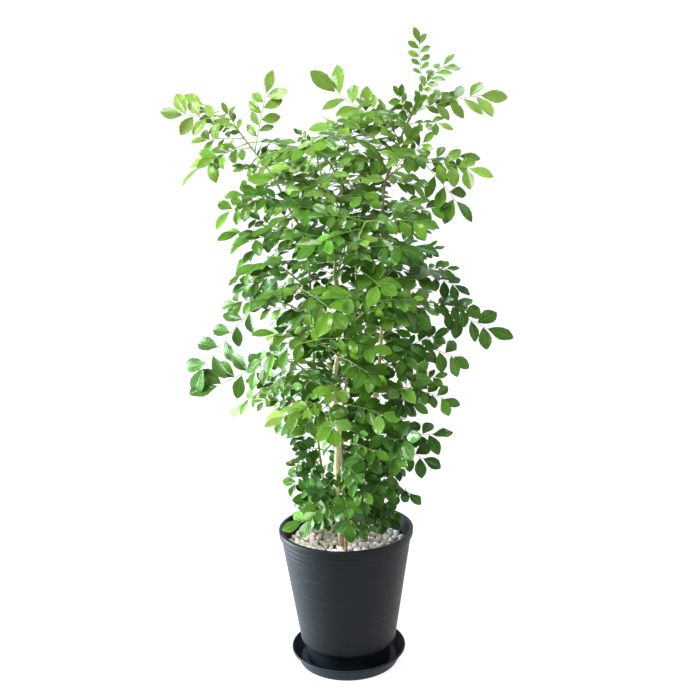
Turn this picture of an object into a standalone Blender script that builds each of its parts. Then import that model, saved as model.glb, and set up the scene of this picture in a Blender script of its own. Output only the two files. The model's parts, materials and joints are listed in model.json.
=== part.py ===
"""Potted orange jasmine: five leafy stems in a ridged nursery pot on its saucer, with gravel over the soil.

Metres, +Z up. The origin is the centre of the saucer's flat underside.
Leaves are pinnate: each is one thin arched blade whose outline is cut to the midrib between leaflets.
"""

import math
from collections import namedtuple

import bmesh
import bpy
import numpy as np
from mathutils import Vector
from mathutils.bvhtree import BVHTree
from mathutils.geometry import delaunay_2d_cdt

# Clearance between pieces that touch
GAP = 0.0003

# Pot
RIM_RADIUS = 0.120
RIM_HEIGHT = 0.250
LIP_DEPTH = 0.012
LIP_OVERHANG = 0.0038
MOUTH_RADIUS = 0.1130
POT_BASE_RADIUS = 0.085
POT_BASE_HEIGHT = 0.040
POT_WALL = 0.0028
FOOT_RADIUS = 0.0765
FOOT_WALL = 0.004
DRAIN_HOLES = 5
DRAIN_RADIUS = 0.006
DRAIN_CIRCLE = 0.052
TURNED_SIDES = 32

# Saucer
SAUCER_RIM_RADIUS = 0.1035
SAUCER_HEIGHT = 0.025
SAUCER_BASE_RADIUS = 0.090
SAUCER_FLOOR = 0.003
SAUCER_WALL = 0.0024

# Soil and gravel
SOIL_TOP = 0.2090
GRAVEL_TOP = 0.2170
STEM_DEPTH = 0.055
PEBBLE_RISE = 0.0045
PEBBLE_RINGS = 8

# Leaves: the first lengths are in metres, and the rest are shares of a leaf's length
BLADE = 0.0008
MIDRIB = 0.0013
MEAN_LENGTH = 0.115
FIRST_LEAFLET = 0.17
LEAFLET_WIDTH = 0.40
LEAFLET_ANGLE = math.radians(58)
FOLD = 0.16
# How long the lowest, the highest and the last leaflet are, by how many leaflets the leaf has
LEAFLET_LENGTHS = {5: (0.23, 0.31, 0.35), 7: (0.19, 0.25, 0.31), 9: (0.155, 0.205, 0.28)}
CLEARANCE = 0.0011
# The share of a leaf, from its foot, that may touch the stem it grows from
STALK_SHARE = 0.13
SEED = 11

# The plant's places are read on the upright plane through its trunk, looked at from this point
EYE = Vector((0.014, -1.60, 0.87))

Stem = namedtuple("Stem", "foot_radius tip_radius sides points")
Shoot = namedtuple("Shoot", "parent points")
Leaf = namedtuple("Leaf", "branch foot tip face leaflets arch")

# Points are (across, up, depth): where the stem is seen on the trunk's plane, and how far behind it
STEMS = {
    "leafy_stem_centre": Stem(0.0062, 0.0015, 8, [
        (-0.009, 0.250, -0.020), (-0.015, 0.315, -0.020), (-0.0115, 0.390, -0.020),
        (-0.0095, 0.425, -0.020), (-0.015, 0.510, -0.012), (-0.007, 0.565, -0.010),
        (-0.003, 0.650, 0.000), (-0.009, 0.705, 0.000), (0.006, 0.830, 0.004),
        (0.012, 0.880, 0.008), (0.022, 0.935, 0.010)]),
    "leafy_stem_left": Stem(0.0030, 0.0013, 6, [
        (-0.037, 0.280, 0.060), (-0.037, 0.325, 0.055), (-0.045, 0.396, 0.045),
        (-0.048, 0.480, 0.036), (-0.050, 0.600, 0.022), (-0.056, 0.750, 0.010),
        (-0.0835, 0.815, 0.000), (-0.1076, 0.867, -0.010), (-0.137, 0.908, -0.020),
        (-0.170, 0.953, -0.025)]),
    "leafy_stem_right": Stem(0.0040, 0.0013, 6, [
        (0.035, 0.260, 0.000), (0.042, 0.360, 0.006), (0.053, 0.460, 0.010),
        (0.066, 0.560, 0.010), (0.071, 0.650, 0.010), (0.072, 0.760, 0.006),
        (0.077, 0.845, 0.000), (0.094, 0.891, -0.006), (0.111, 0.939, -0.014),
        (0.126, 0.967, -0.020), (0.141, 1.013, -0.024)]),
    "leafy_stem_front": Stem(0.0026, 0.0013, 6, [
        (-0.001, 0.245, -0.046), (-0.004, 0.320, -0.040), (-0.0035, 0.425, -0.034),
        (0.004, 0.500, -0.044), (0.020, 0.590, -0.060), (0.027, 0.680, -0.068),
        (0.022, 0.770, -0.066), (-0.020, 0.850, -0.060)]),
    "leafy_stem_back": Stem(0.0034, 0.0013, 6, [
        (0.006, 0.275, 0.052), (0.010, 0.350, 0.060), (0.014, 0.450, 0.068),
        (0.010, 0.560, 0.078), (-0.004, 0.680, 0.084), (-0.014, 0.790, 0.080),
        (-0.030, 0.880, 0.070), (-0.045, 0.930, 0.060)]),
}

# Side shoots start where their parent passes nearest their first point
SHOOT_FOOT_RADIUS = 0.0017
SHOOT_TIP_RADIUS = 0.0012
SHOOT_SIDES = 4
SHOOTS = {
    "left_low": Shoot("leafy_stem_left", [
        (-0.040, 0.360, 0.050), (-0.052, 0.372, 0.020), (-0.060, 0.380, 0.005)]),
    "left_spray": Shoot("leafy_stem_left", [
        (-0.048, 0.460, 0.036), (-0.085, 0.500, 0.000), (-0.118, 0.515, -0.020)]),
    "left_arm": Shoot("leafy_stem_left", [
        (-0.049, 0.520, 0.030), (-0.075, 0.545, 0.010), (-0.100, 0.556, -0.010)]),
    "left_reach": Shoot("leafy_stem_left", [
        (-0.050, 0.620, 0.020), (-0.090, 0.652, 0.000), (-0.132, 0.662, -0.025)]),
    "left_mid": Shoot("leafy_stem_left", [
        (-0.053, 0.670, 0.016), (-0.080, 0.700, 0.000), (-0.108, 0.722, -0.012)]),
    "left_upper": Shoot("leafy_stem_left", [
        (-0.056, 0.745, 0.010), (-0.078, 0.768, 0.030), (-0.100, 0.782, 0.040)]),
    "centre_low": Shoot("leafy_stem_centre", [
        (-0.012, 0.455, -0.018), (-0.026, 0.472, -0.045), (-0.034, 0.478, -0.070)]),
    "centre_left": Shoot("leafy_stem_centre", [
        (-0.005, 0.620, -0.004), (-0.050, 0.660, -0.045), (-0.070, 0.680, -0.075)]),
    "centre_right": Shoot("leafy_stem_centre", [
        (-0.008, 0.700, 0.000), (0.030, 0.740, 0.040), (0.050, 0.765, 0.065)]),
    "centre_fore": Shoot("leafy_stem_centre", [
        (0.000, 0.790, 0.003), (-0.012, 0.830, -0.030), (-0.022, 0.852, -0.055)]),
    "centre_top": Shoot("leafy_stem_centre", [
        (0.008, 0.850, 0.006), (-0.015, 0.890, 0.000), (-0.036, 0.915, -0.010)]),
    "right_low": Shoot("leafy_stem_right", [
        (0.038, 0.300, 0.002), (0.055, 0.325, -0.020), (0.070, 0.335, -0.030)]),
    "right_knee": Shoot("leafy_stem_right", [
        (0.043, 0.365, 0.006), (0.060, 0.395, -0.015), (0.075, 0.410, -0.025)]),
    "right_arm": Shoot("leafy_stem_right", [
        (0.051, 0.440, 0.009), (0.085, 0.470, -0.010), (0.115, 0.500, -0.030)]),
    "right_spray": Shoot("leafy_stem_right", [
        (0.062, 0.530, 0.010), (0.090, 0.560, -0.020), (0.120, 0.578, -0.040)]),
    "right_reach": Shoot("leafy_stem_right", [
        (0.069, 0.600, 0.010), (0.110, 0.640, -0.010), (0.150, 0.650, -0.020)]),
    "right_mid": Shoot("leafy_stem_right", [
        (0.071, 0.680, 0.009), (0.105, 0.728, 0.000), (0.128, 0.726, -0.005), (0.143, 0.700, -0.010)]),
    "right_upper": Shoot("leafy_stem_right", [
        (0.073, 0.770, 0.005), (0.092, 0.795, -0.020), (0.104, 0.805, -0.035)]),
    "right_crown": Shoot("leafy_stem_right", [
        (0.082, 0.860, -0.002), (0.110, 0.880, -0.020), (0.140, 0.888, -0.030)]),
    "front_left": Shoot("leafy_stem_front", [
        (0.010, 0.540, -0.050), (-0.022, 0.575, -0.095), (-0.045, 0.590, -0.135)]),
    "front_right": Shoot("leafy_stem_front", [
        (0.023, 0.620, -0.063), (0.048, 0.645, -0.100), (0.062, 0.655, -0.140)]),
    "front_top": Shoot("leafy_stem_front", [
        (0.024, 0.730, -0.067), (0.034, 0.765, -0.100), (0.045, 0.790, -0.135)]),
    "back_left": Shoot("leafy_stem_back", [
        (0.012, 0.500, 0.072), (-0.030, 0.545, 0.110), (-0.055, 0.560, 0.150)]),
    "back_right": Shoot("leafy_stem_back", [
        (0.005, 0.600, 0.080), (0.045, 0.645, 0.120), (0.070, 0.665, 0.155)]),
    "back_high": Shoot("leafy_stem_back", [
        (-0.006, 0.700, 0.083), (0.010, 0.750, 0.125), (0.012, 0.775, 0.165)]),
    "back_low": Shoot("leafy_stem_back", [
        (0.012, 0.400, 0.064), (0.030, 0.440, 0.100), (0.040, 0.455, 0.135)]),
}

# Leaves that make the outline: branch, foot (across, up), tip (across, up, depth), leaflets, and how far
# the blade faces forward instead of up
OUTER_LEAVES = [
    ("leafy_stem_left", (-0.134, 0.905), (-0.105, 1.040, -0.035), 7, 0.9),
    ("leafy_stem_left", (-0.170, 0.953), (-0.297, 0.972, -0.040), 5, 0.9),
    ("leafy_stem_left", (-0.155, 0.935), (-0.248, 0.922, -0.010), 5, 0.8),
    ("leafy_stem_left", (-0.150, 0.925), (-0.270, 0.857, -0.050), 5, 0.5),
    ("leafy_stem_left", (-0.117, 0.882), (-0.175, 0.878, -0.060), 5, 0.6),
    ("leafy_stem_left", (-0.096, 0.840), (-0.222, 0.792, -0.030), 7, 0.8),
    ("left_upper", (-0.100, 0.782), (-0.174, 0.806, 0.030), 5, 0.6),
    ("left_upper", (-0.092, 0.776), (-0.214, 0.764, 0.010), 5, 0.1),
    ("left_mid", (-0.108, 0.722), (-0.200, 0.690, -0.020), 5, 0.4),
    ("left_reach", (-0.132, 0.662), (-0.283, 0.487, -0.040), 9, 0.9),
    ("left_reach", (-0.115, 0.660), (-0.212, 0.650, 0.020), 5, 0.6),
    ("left_arm", (-0.100, 0.556), (-0.270, 0.480, -0.030), 7, 0.9),
    ("left_spray", (-0.118, 0.515), (-0.152, 0.460, -0.060), 5, 0.8),
    ("left_spray", (-0.112, 0.512), (-0.212, 0.452, 0.000), 5, 0.3),
    ("left_spray", (-0.080, 0.495), (-0.127, 0.418, -0.030), 5, 0.5),
    ("left_low", (-0.060, 0.380), (-0.102, 0.350, -0.045), 5, 0.6),
    ("left_low", (-0.055, 0.376), (-0.104, 0.300, -0.010), 5, 0.7),
    ("leafy_stem_left", (-0.037, 0.300), (-0.118, 0.240, 0.030), 5, 0.6),
    ("centre_low", (-0.034, 0.478), (-0.090, 0.410, -0.110), 5, 0.9),
    ("centre_low", (-0.030, 0.475), (0.000, 0.440, -0.110), 5, 0.9),
    ("centre_fore", (-0.022, 0.852), (-0.086, 0.832, -0.110), 5, 0.4),
    ("centre_top", (-0.036, 0.915), (-0.073, 0.942, -0.030), 5, 0.8),
    ("leafy_stem_centre", (0.022, 0.935), (-0.022, 0.957, 0.000), 5, 0.3),
    ("leafy_stem_centre", (0.020, 0.925), (0.050, 0.968, -0.040), 5, 0.8),
    ("leafy_stem_right", (0.104, 0.920), (-0.048, 1.018, -0.030), 7, 0.8),
    ("leafy_stem_right", (0.098, 0.900), (0.010, 0.975, -0.060), 5, 0.2),
    ("leafy_stem_right", (0.141, 1.013), (0.136, 1.100, -0.030), 9, 0.9),
    ("leafy_stem_right", (0.126, 0.967), (0.287, 0.993, -0.030), 7, 0.9),
    ("leafy_stem_right", (0.115, 0.948), (0.195, 0.944, -0.060), 5, 0.6),
    ("right_crown", (0.112, 0.880), (0.160, 0.935, -0.060), 5, 0.9),
    ("right_crown", (0.125, 0.885), (0.243, 0.892, -0.020), 5, 0.6),
    ("right_crown", (0.140, 0.888), (0.228, 0.775, -0.050), 5, 0.9),
    ("right_crown", (0.132, 0.886), (0.265, 0.858, -0.070), 5, 0.7),
    ("right_upper", (0.104, 0.805), (0.150, 0.783, -0.090), 5, 0.7),
    ("right_upper", (0.092, 0.795), (0.145, 0.748, -0.070), 5, 0.8),
    ("right_mid", (0.125, 0.728), (0.174, 0.745, -0.030), 5, 0.7),
    ("right_mid", (0.140, 0.705), (0.202, 0.705, -0.020), 5, 0.8),
    ("right_mid", (0.143, 0.700), (0.221, 0.662, -0.040), 5, 0.8),
    ("right_reach", (0.150, 0.650), (0.246, 0.622, -0.050), 5, 0.7),
    ("right_reach", (0.145, 0.649), (0.298, 0.572, -0.030), 7, 0.9),
    ("right_spray", (0.110, 0.573), (0.188, 0.590, -0.080), 5, 0.8),
    ("right_spray", (0.120, 0.578), (0.243, 0.524, -0.050), 5, 0.7),
    ("right_arm", (0.115, 0.500), (0.183, 0.528, -0.050), 5, 0.7),
    ("right_arm", (0.112, 0.497), (0.208, 0.463, -0.050), 5, 0.9),
    ("right_knee", (0.075, 0.410), (0.196, 0.412, -0.040), 5, 0.5),
    ("right_knee", (0.072, 0.408), (0.175, 0.347, -0.050), 5, 0.9),
    ("right_knee", (0.066, 0.402), (0.112, 0.360, -0.080), 5, 0.8),
    ("right_low", (0.070, 0.335), (0.114, 0.284, -0.050), 5, 0.7),
    ("right_low", (0.058, 0.328), (0.086, 0.254, -0.060), 5, 0.6),
    ("leafy_stem_front", (-0.004, 0.330), (0.012, 0.205, -0.088), 5, 0.8),
    ("leafy_stem_front", (-0.004, 0.360), (-0.052, 0.300, -0.090), 5, 0.7),
]

# Leaves that fill the crown: how many a stem carries, up to what share of its length, and how many each
# of its shoots carries
FILL = {
    "leafy_stem_centre": (4, 0.95, 3), "leafy_stem_left": (2, 0.70, 0), "leafy_stem_right": (2, 0.70, 0),
    "leafy_stem_front": (4, 1.0, 3), "leafy_stem_back": (4, 1.0, 3)}
GOLDEN_ANGLE = math.radians(137.5)
# How wide the crown is (height, radius)
CROWN = [(0.22, 0.100), (0.36, 0.125), (0.46, 0.190), (0.60, 0.220), (0.80, 0.210), (0.92, 0.160),
         (1.00, 0.100)]
# How often a leaf is tried in a new place, and how much further away each time
OUTER_TRIES = 60
OUTER_STEP = 0.0006
FILLER_TRIES = 14
# A filling leaf: its length, how much it climbs for its run, and how much it faces outwards for facing up
FILLER_LENGTH = (0.120, 0.160)
FILLER_RISE = (-0.55, 0.25)
FILLER_FACING = (0.5, 1.6)
# Leaves above this height point up, and those below it hang
LEVEL_HEIGHT = 0.55
CLIMB = 0.9


def clear_scene():
    for item in list(bpy.data.objects):
        bpy.data.objects.remove(item, do_unlink=True)


def make_material(name, colour, roughness, metallic=0.0):
    material = bpy.data.materials.new(name)
    material.use_nodes = True
    shader = material.node_tree.nodes["Principled BSDF"]
    shader.inputs["Base Color"].default_value = (*colour, 1.0)
    shader.inputs["Roughness"].default_value = roughness
    shader.inputs["Metallic"].default_value = metallic
    material.diffuse_color = (*colour, 1.0)
    return material


def add_object(name, mesh, collection, material=None):
    item = bpy.data.objects.new(name, mesh)
    collection.objects.link(item)
    if material is not None:
        mesh.materials.append(material)
    return item


def seen_at(across, up, depth):
    """The point at this depth that is seen at (across, up) on the upright plane through the trunk."""
    on_plane = Vector((across, 0.0, up))
    return EYE + (on_plane - EYE) * ((depth - EYE.y) / -EYE.y)


def smooth_path(points, steps):
    """A curve through the points: each span is a cubic whose end slopes follow the neighbouring points."""
    ends = [2 * points[0] - points[1], *points, 2 * points[-1] - points[-2]]
    path = []
    for before, start, stop, after in zip(ends, ends[1:], ends[2:], ends[3:]):
        for step in range(steps):
            t = step / steps
            path.append(0.5 * ((2 * start) + (stop - before) * t
                               + (2 * before - 5 * start + 4 * stop - after) * t ** 2
                               + (3 * start - before - 3 * stop + after) * t ** 3))
    return [*path, points[-1]]


def finely_divided(path):
    """The same straight runs with more points on them, to start shoots and leaves from."""
    shares = [step / 6 for step in range(6)]
    runs = zip(path, path[1:])
    return [start.lerp(stop, share) for start, stop in runs for share in shares] + [path[-1]]


def nearest_index(path, point):
    return min(range(len(path)), key=lambda i: (path[i] - point).length)


def branch_paths():
    """Every stem's and shoot's points from foot to tip. A stem goes straight down through gravel and soil."""
    paths = {}
    for name, stem in STEMS.items():
        above = [seen_at(*point) for point in stem.points]
        foot = Vector((above[0].x, above[0].y, SOIL_TOP - STEM_DEPTH))
        paths[name] = [foot, *smooth_path(above, 2 if stem.sides > 6 else 1)]
    for name, shoot in SHOOTS.items():
        points = [seen_at(*point) for point in shoot.points]
        parent = finely_divided(paths[shoot.parent])
        points[0] = parent[nearest_index(parent, points[0])]
        paths[name] = points
    return paths


def tube(name, path, foot_radius, tip_radius, sides, collection, material):
    """A tapering round stem: a bevelled curve along the path, made a closed mesh."""
    curve = bpy.data.curves.new(name, "CURVE")
    curve.dimensions = "3D"
    curve.bevel_depth = foot_radius
    curve.bevel_resolution = (sides - 4) // 2
    curve.use_fill_caps = True
    spline = curve.splines.new("POLY")
    spline.points.add(len(path) - 1)
    for index, point in enumerate(path):
        share = index / (len(path) - 1)
        spline.points[index].co = (*point, 1.0)
        spline.points[index].radius = 1 + (tip_radius / foot_radius - 1) * share
    guide = bpy.data.objects.new(name + " curve", curve)
    collection.objects.link(guide)
    bpy.context.view_layer.update()
    evaluated = guide.evaluated_get(bpy.context.evaluated_depsgraph_get())
    mesh = bpy.data.meshes.new_from_object(evaluated)
    bpy.data.objects.remove(guide, do_unlink=True)
    shape = bmesh.new()
    shape.from_mesh(mesh)
    bmesh.ops.remove_doubles(shape, verts=shape.verts, dist=0.00001)
    bmesh.ops.recalc_face_normals(shape, faces=shape.faces)
    shape.to_mesh(mesh)
    shape.free()
    mesh.materials.clear()
    return add_object(name, mesh, collection, material)


def leaf_outline(leaflets):
    """A flat leaf of unit length, as (along the midrib, aside): alternate leaflets and a larger last one."""
    shortest, longest, end_length = LEAFLET_LENGTHS[leaflets]
    last = 1 - end_length
    rib = MIDRIB / MEAN_LENGTH
    right, left = [], []
    side_leaflets = leaflets - 1
    reach = last - 0.06 - FIRST_LEAFLET
    spacing = 2 * reach / (side_leaflets - 1)
    cos, sin = math.cos(LEAFLET_ANGLE), math.sin(LEAFLET_ANGLE)
    for number in range(side_leaflets):
        share = number / (side_leaflets - 1)
        foot = FIRST_LEAFLET + reach * share
        size = shortest + (longest - shortest) * share
        half = min(LEAFLET_WIDTH * size, 0.44 * spacing * sin)
        corners = [
            (foot - 0.014, rib),
            (foot + 0.45 * size * cos - half * sin, rib + 0.45 * size * sin + half * cos),
            (foot + size * cos, rib + size * sin),
            (foot + 0.55 * size * cos + half * sin, rib + 0.55 * size * sin - half * cos),
            (foot + 0.014, rib)]
        (right if number % 2 else left).extend(corners)
    half = 0.33 * end_length
    middle = last + 0.5 * end_length
    end = [(last + 0.01, rib), (middle, half), (1.0, 0.0), (middle, -half), (last + 0.01, -rib)]
    mirrored = [(along, -aside) for along, aside in reversed(left)]
    return [(0.0, rib), *right, *end, *mirrored, (0.0, -rib)]


def flat_leaf(leaflets):
    """The outline's corners and the triangles that fill it."""
    outline = [Vector(corner) for corner in leaf_outline(leaflets)]
    edges = [(i, (i + 1) % len(outline)) for i in range(len(outline))]
    filled = delaunay_2d_cdt(outline, edges, [list(range(len(outline)))], 1, 0.00001)
    return np.array([tuple(corner) for corner in filled[0]]), filled[2]


FLAT_LEAVES = {leaflets: flat_leaf(leaflets) for leaflets in (5, 7, 9)}


def blade(leaf, start=0.0):
    """The arched blade's corners in space and its outward direction at each of them.

    The midrib is a parabola from foot to tip, raised in the middle. The blade goes out to each side of it
    and falls away from it by the fold.
    """
    corners, triangles = FLAT_LEAVES[leaf.leaflets]
    along = np.maximum(corners[:, 0], start)[:, None]
    length = (leaf.tip - leaf.foot).length
    foot, tip, face = np.array(leaf.foot), np.array(leaf.tip), np.array(leaf.face)
    middle = (foot + tip) / 2 + np.array([0, 0, 1.0]) * leaf.arch * length
    point = (1 - along) ** 2 * foot + 2 * along * (1 - along) * middle + along ** 2 * tip
    slope = 2 * (1 - along) * (middle - foot) + 2 * along * (tip - middle)
    side = np.cross(slope, face)
    side /= np.linalg.norm(side, axis=1)[:, None]
    out = np.cross(side, slope)
    out /= np.linalg.norm(out, axis=1)[:, None]
    aside = corners[:, 1][:, None] * length
    return point + side * aside - out * np.abs(aside) * FOLD, out, triangles


def blade_tree(leaf, thickness, start=0.0):
    """The blade as a slab in a search tree, with its lowest and highest corners."""
    middle, out, triangles = blade(leaf, start)
    corners = np.vstack([middle + out * thickness / 2, middle - out * thickness / 2])
    count = len(middle)
    faces = [tuple(face) for face in triangles]
    faces += [(a + count, c + count, b + count) for a, b, c in triangles]
    rim = list(range(count))
    faces += [(i, j, j + count, i + count) for i, j in zip(rim, rim[1:] + rim[:1])]
    tree = BVHTree.FromPolygons([tuple(corner) for corner in corners], faces)
    return tree, corners.min(axis=0), corners.max(axis=0)


def node_of(branch):
    return SHOOTS[branch].parent if branch in SHOOTS else branch


def is_clear(leaf, taken):
    """Whether a leaf crosses nothing. Near its foot it may touch its own stem's pieces."""
    whole, low, high = blade_tree(leaf, BLADE + 2 * CLEARANCE)
    outer = blade_tree(leaf, BLADE + 2 * CLEARANCE, STALK_SHARE)[0]
    for node, tree, other_low, other_high in taken:
        if np.all(low < other_high) and np.all(high > other_low):
            if (outer if node == node_of(leaf.branch) else whole).overlap(tree):
                return False
    return True


def facing(direction, forward):
    """The blade's facing: up, or turned towards the front, and square to nothing."""
    face = Vector((0, -forward, 1 - 0.55 * forward))
    if abs(direction.normalized().dot(face.normalized())) > 0.9:
        face += Vector((0.5, -0.5, 0))
    return face.normalized()


def settle_outer(row, paths, taken, random):
    """An outer leaf at its place, or moved a little until it is clear of the rest."""
    branch, foot, tip, leaflets, forward = row
    path = finely_divided(paths[branch])
    foot_depth = min(paths[branch], key=lambda p: abs(p.z - foot[1])).y
    foot = path[nearest_index(path, seen_at(*foot, foot_depth))]
    for attempt in range(OUTER_TRIES):
        shift = Vector(random.uniform(-1, 1, 3)) * OUTER_STEP * attempt
        shift.y *= 2.5
        end = seen_at(*tip) + shift
        spin = random.uniform(-1, 1) * 0.02 * attempt
        face = facing(end - foot, forward) + Vector((spin, 0, 0))
        arch = 0.10 if end.z < foot.z + 0.03 else 0.05
        leaf = Leaf(branch, foot, end, face.normalized(), leaflets, arch)
        if is_clear(leaf, taken):
            return leaf
    return None


def crown_radius(height):
    heights, radii = zip(*CROWN)
    return float(np.interp(height, heights, radii))


def settle_filler(branch, share, number, paths, taken, random):
    """A leaf placed by rule: turned by the golden angle, facing up and outwards, inside the crown."""
    path = finely_divided(paths[branch])
    foot = path[round(share * (len(path) - 1))]
    run = path[-1] - path[0]
    lead = number * GOLDEN_ANGLE
    if branch in SHOOTS:
        lead = math.atan2(run.y, run.x) + 0.9 * (number % 2 * 2 - 1)
    for attempt in range(FILLER_TRIES):
        turn = lead + random.uniform(-0.5, 0.5) * (1 + attempt / 3)
        rise = random.uniform(*FILLER_RISE) + CLIMB * (foot.z - LEVEL_HEIGHT)
        length = random.uniform(*FILLER_LENGTH) * (1 - 0.025 * attempt)
        heading = Vector((math.cos(turn), math.sin(turn), rise)).normalized()
        tip = foot + heading * length
        outward = Vector((tip.x, tip.y, 0))
        if outward.length > crown_radius(tip.z) or tip.z < GRAVEL_TOP + 0.03:
            continue
        tilt = outward.normalized() * random.uniform(*FILLER_FACING)
        face = (Vector((0, 0, 1)) + tilt + Vector(random.uniform(-0.3, 0.3, 3))).normalized()
        if abs(face.dot(heading)) > 0.85:
            continue
        leaf = Leaf(branch, foot, tip, face, 5, 0.10)
        if is_clear(leaf, taken):
            return leaf
    return None


def pot_taken():
    """The pot's rim and wall as an obstacle that no leaf may touch."""
    profile = np.array([
        (POT_BASE_RADIUS + 0.01, 0.0), (RIM_RADIUS + 0.001, RIM_HEIGHT + 0.001),
        (MOUTH_RADIUS - 0.001, RIM_HEIGHT + 0.001), (MOUTH_RADIUS - 0.004, GRAVEL_TOP),
        (0.0, GRAVEL_TOP + PEBBLE_RISE + 0.002)])
    turn = 2 * np.pi * np.arange(TURNED_SIDES) / TURNED_SIDES
    around = np.stack([np.cos(turn), np.sin(turn), np.zeros(TURNED_SIDES)], axis=-1)
    corners = (profile[:, None, :1] * around + profile[:, None, 1:] * (0, 0, 1)).reshape(-1, 3)
    ring, step = np.meshgrid(np.arange(len(profile) - 1), np.arange(TURNED_SIDES), indexing="ij")
    here, beside = ring * TURNED_SIDES + step, ring * TURNED_SIDES + (step + 1) % TURNED_SIDES
    faces = np.stack([here, beside, beside + TURNED_SIDES, here + TURNED_SIDES], axis=-1).reshape(-1, 4)
    tree = BVHTree.FromPolygons(corners.tolist(), faces.tolist())
    return "pot", tree, corners.min(axis=0), corners.max(axis=0)


def arrange_leaves(paths, branches):
    """Every leaf of the plant: the outer ones first, then the ones that fill the crown."""
    random = np.random.default_rng(SEED)
    taken = [pot_taken()]
    for name, item in branches.items():
        corners = np.array([tuple(vertex.co) for vertex in item.data.vertices])
        faces = [tuple(face.vertices) for face in item.data.polygons]
        tree = BVHTree.FromPolygons(corners.tolist(), faces)
        low, high = corners.min(axis=0) - CLEARANCE, corners.max(axis=0) + CLEARANCE
        taken.append((node_of(name), tree, low, high))
    leaves = []

    def keep(leaf):
        if leaf is None:
            return
        leaves.append(leaf)
        tree, low, high = blade_tree(leaf, BLADE)
        taken.append((node_of(leaf.branch), tree, low, high))

    for row in OUTER_LEAVES:
        keep(settle_outer(row, paths, taken, random))
    outer = len(leaves)
    for name in paths:
        on_stem, highest, on_shoot = FILL[node_of(name)]
        if name in STEMS:
            shares = np.linspace(0.40, highest, on_stem)
        else:
            shares = np.linspace(1.0, 0.5, on_shoot)
        for number, share in enumerate(shares):
            keep(settle_filler(name, share, number + len(name), paths, taken, random))
    print(f"leaves: {outer} of {len(OUTER_LEAVES)} outer, {len(leaves) - outer} filling the crown")
    return leaves


def leaf_object(leaf, number, collection, material):
    """One blade: the triangulated sheet, with its thickness from Solidify."""
    corners, _, triangles = blade(leaf)
    mesh = bpy.data.meshes.new(f"leaf_{number}")
    mesh.from_pydata([tuple(corner) for corner in corners], [], triangles)
    item = add_object(f"leaf_{number}", mesh, collection, material)
    wall = item.modifiers.new("Thickness", "SOLIDIFY")
    wall.thickness = BLADE
    wall.offset = 0.0
    return item


def join_parts(base, parts):
    """One Boolean union of a stem with its shoots and leaves, applied, with those objects then removed."""
    union = base.modifiers.new("Grown together", "BOOLEAN")
    union.operation = "UNION"
    union.operand_type = "COLLECTION"
    union.collection = parts
    union.solver = "MANIFOLD"
    bpy.context.view_layer.update()
    evaluated = base.evaluated_get(bpy.context.evaluated_depsgraph_get())
    mesh = bpy.data.meshes.new_from_object(evaluated)
    base.modifiers.clear()
    base.data = mesh
    for item in list(parts.objects):
        bpy.data.objects.remove(item, do_unlink=True)
    bpy.data.collections.remove(parts)


def turned(name, profile, collection, material, sides=TURNED_SIDES):
    """A profile of (radius, height) turned about the upright axis."""
    mesh = bpy.data.meshes.new(name)
    mesh.from_pydata([(radius, 0.0, height) for radius, height in profile],
                     [(i, i + 1) for i in range(len(profile) - 1)], [])
    item = add_object(name, mesh, collection, material)
    screw = item.modifiers.new("Turn", "SCREW")
    screw.steps = screw.render_steps = sides
    screw.use_merge_vertices = True
    screw.merge_threshold = 0.00001
    return item


def drill(item, centres, radius, bottom, top, cutters, sides=8):
    """Plain round holes through or into an item, at the given centres."""
    for number, (x, y) in enumerate(centres):
        mesh = bpy.data.meshes.new(f"{item.name}_hole_{number}")
        shape = bmesh.new()
        size = radius[number] if isinstance(radius, list) else radius
        bmesh.ops.create_cone(shape, cap_ends=True, segments=sides, radius1=size, radius2=size,
                              depth=top - bottom)
        bmesh.ops.translate(shape, verts=shape.verts, vec=(x, y, (top + bottom) / 2))
        shape.to_mesh(mesh)
        shape.free()
        cutter = add_object(mesh.name, mesh, cutters)
        cutter.hide_render = True
        cutter.display_type = "WIRE"
        cut = item.modifiers.new(f"Hole {number}", "BOOLEAN")
        cut.operation = "DIFFERENCE"
        cut.object = cutter


def inner_wall(height):
    """The pot's inner radius at a height."""
    low = (POT_BASE_HEIGHT + POT_WALL, POT_BASE_RADIUS - POT_WALL)
    high = (RIM_HEIGHT, MOUTH_RADIUS)
    return float(np.interp(height, (low[0], high[0]), (low[1], high[1])))


def make_pot(collection, cutters, material):
    under_lip = RIM_HEIGHT - LIP_DEPTH
    body_radius = RIM_RADIUS - LIP_OVERHANG
    foot_bottom = SAUCER_FLOOR + GAP
    floor_top = POT_BASE_HEIGHT + POT_WALL
    pot = turned("pot", [
        (0.0, floor_top), (inner_wall(floor_top), floor_top),
        (MOUTH_RADIUS, RIM_HEIGHT - 0.003), (MOUTH_RADIUS + 0.002, RIM_HEIGHT),
        (RIM_RADIUS - 0.002, RIM_HEIGHT), (RIM_RADIUS, RIM_HEIGHT - 0.003),
        (RIM_RADIUS - 0.0006, under_lip), (body_radius, under_lip - 0.0015),
        (POT_BASE_RADIUS + 0.001, POT_BASE_HEIGHT + 0.003), (POT_BASE_RADIUS - 0.001, POT_BASE_HEIGHT),
        (FOOT_RADIUS, POT_BASE_HEIGHT), (FOOT_RADIUS - 0.001, foot_bottom),
        (FOOT_RADIUS - FOOT_WALL, foot_bottom), (FOOT_RADIUS - FOOT_WALL, POT_BASE_HEIGHT),
        (0.0, POT_BASE_HEIGHT)], collection, material)
    turns = [2 * math.pi * (i + 0.5) / DRAIN_HOLES for i in range(DRAIN_HOLES)]
    centres = [(DRAIN_CIRCLE * math.cos(turn), DRAIN_CIRCLE * math.sin(turn)) for turn in turns]
    drill(pot, centres, DRAIN_RADIUS, POT_BASE_HEIGHT - 0.01, floor_top + 0.01, cutters)
    return pot


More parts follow.
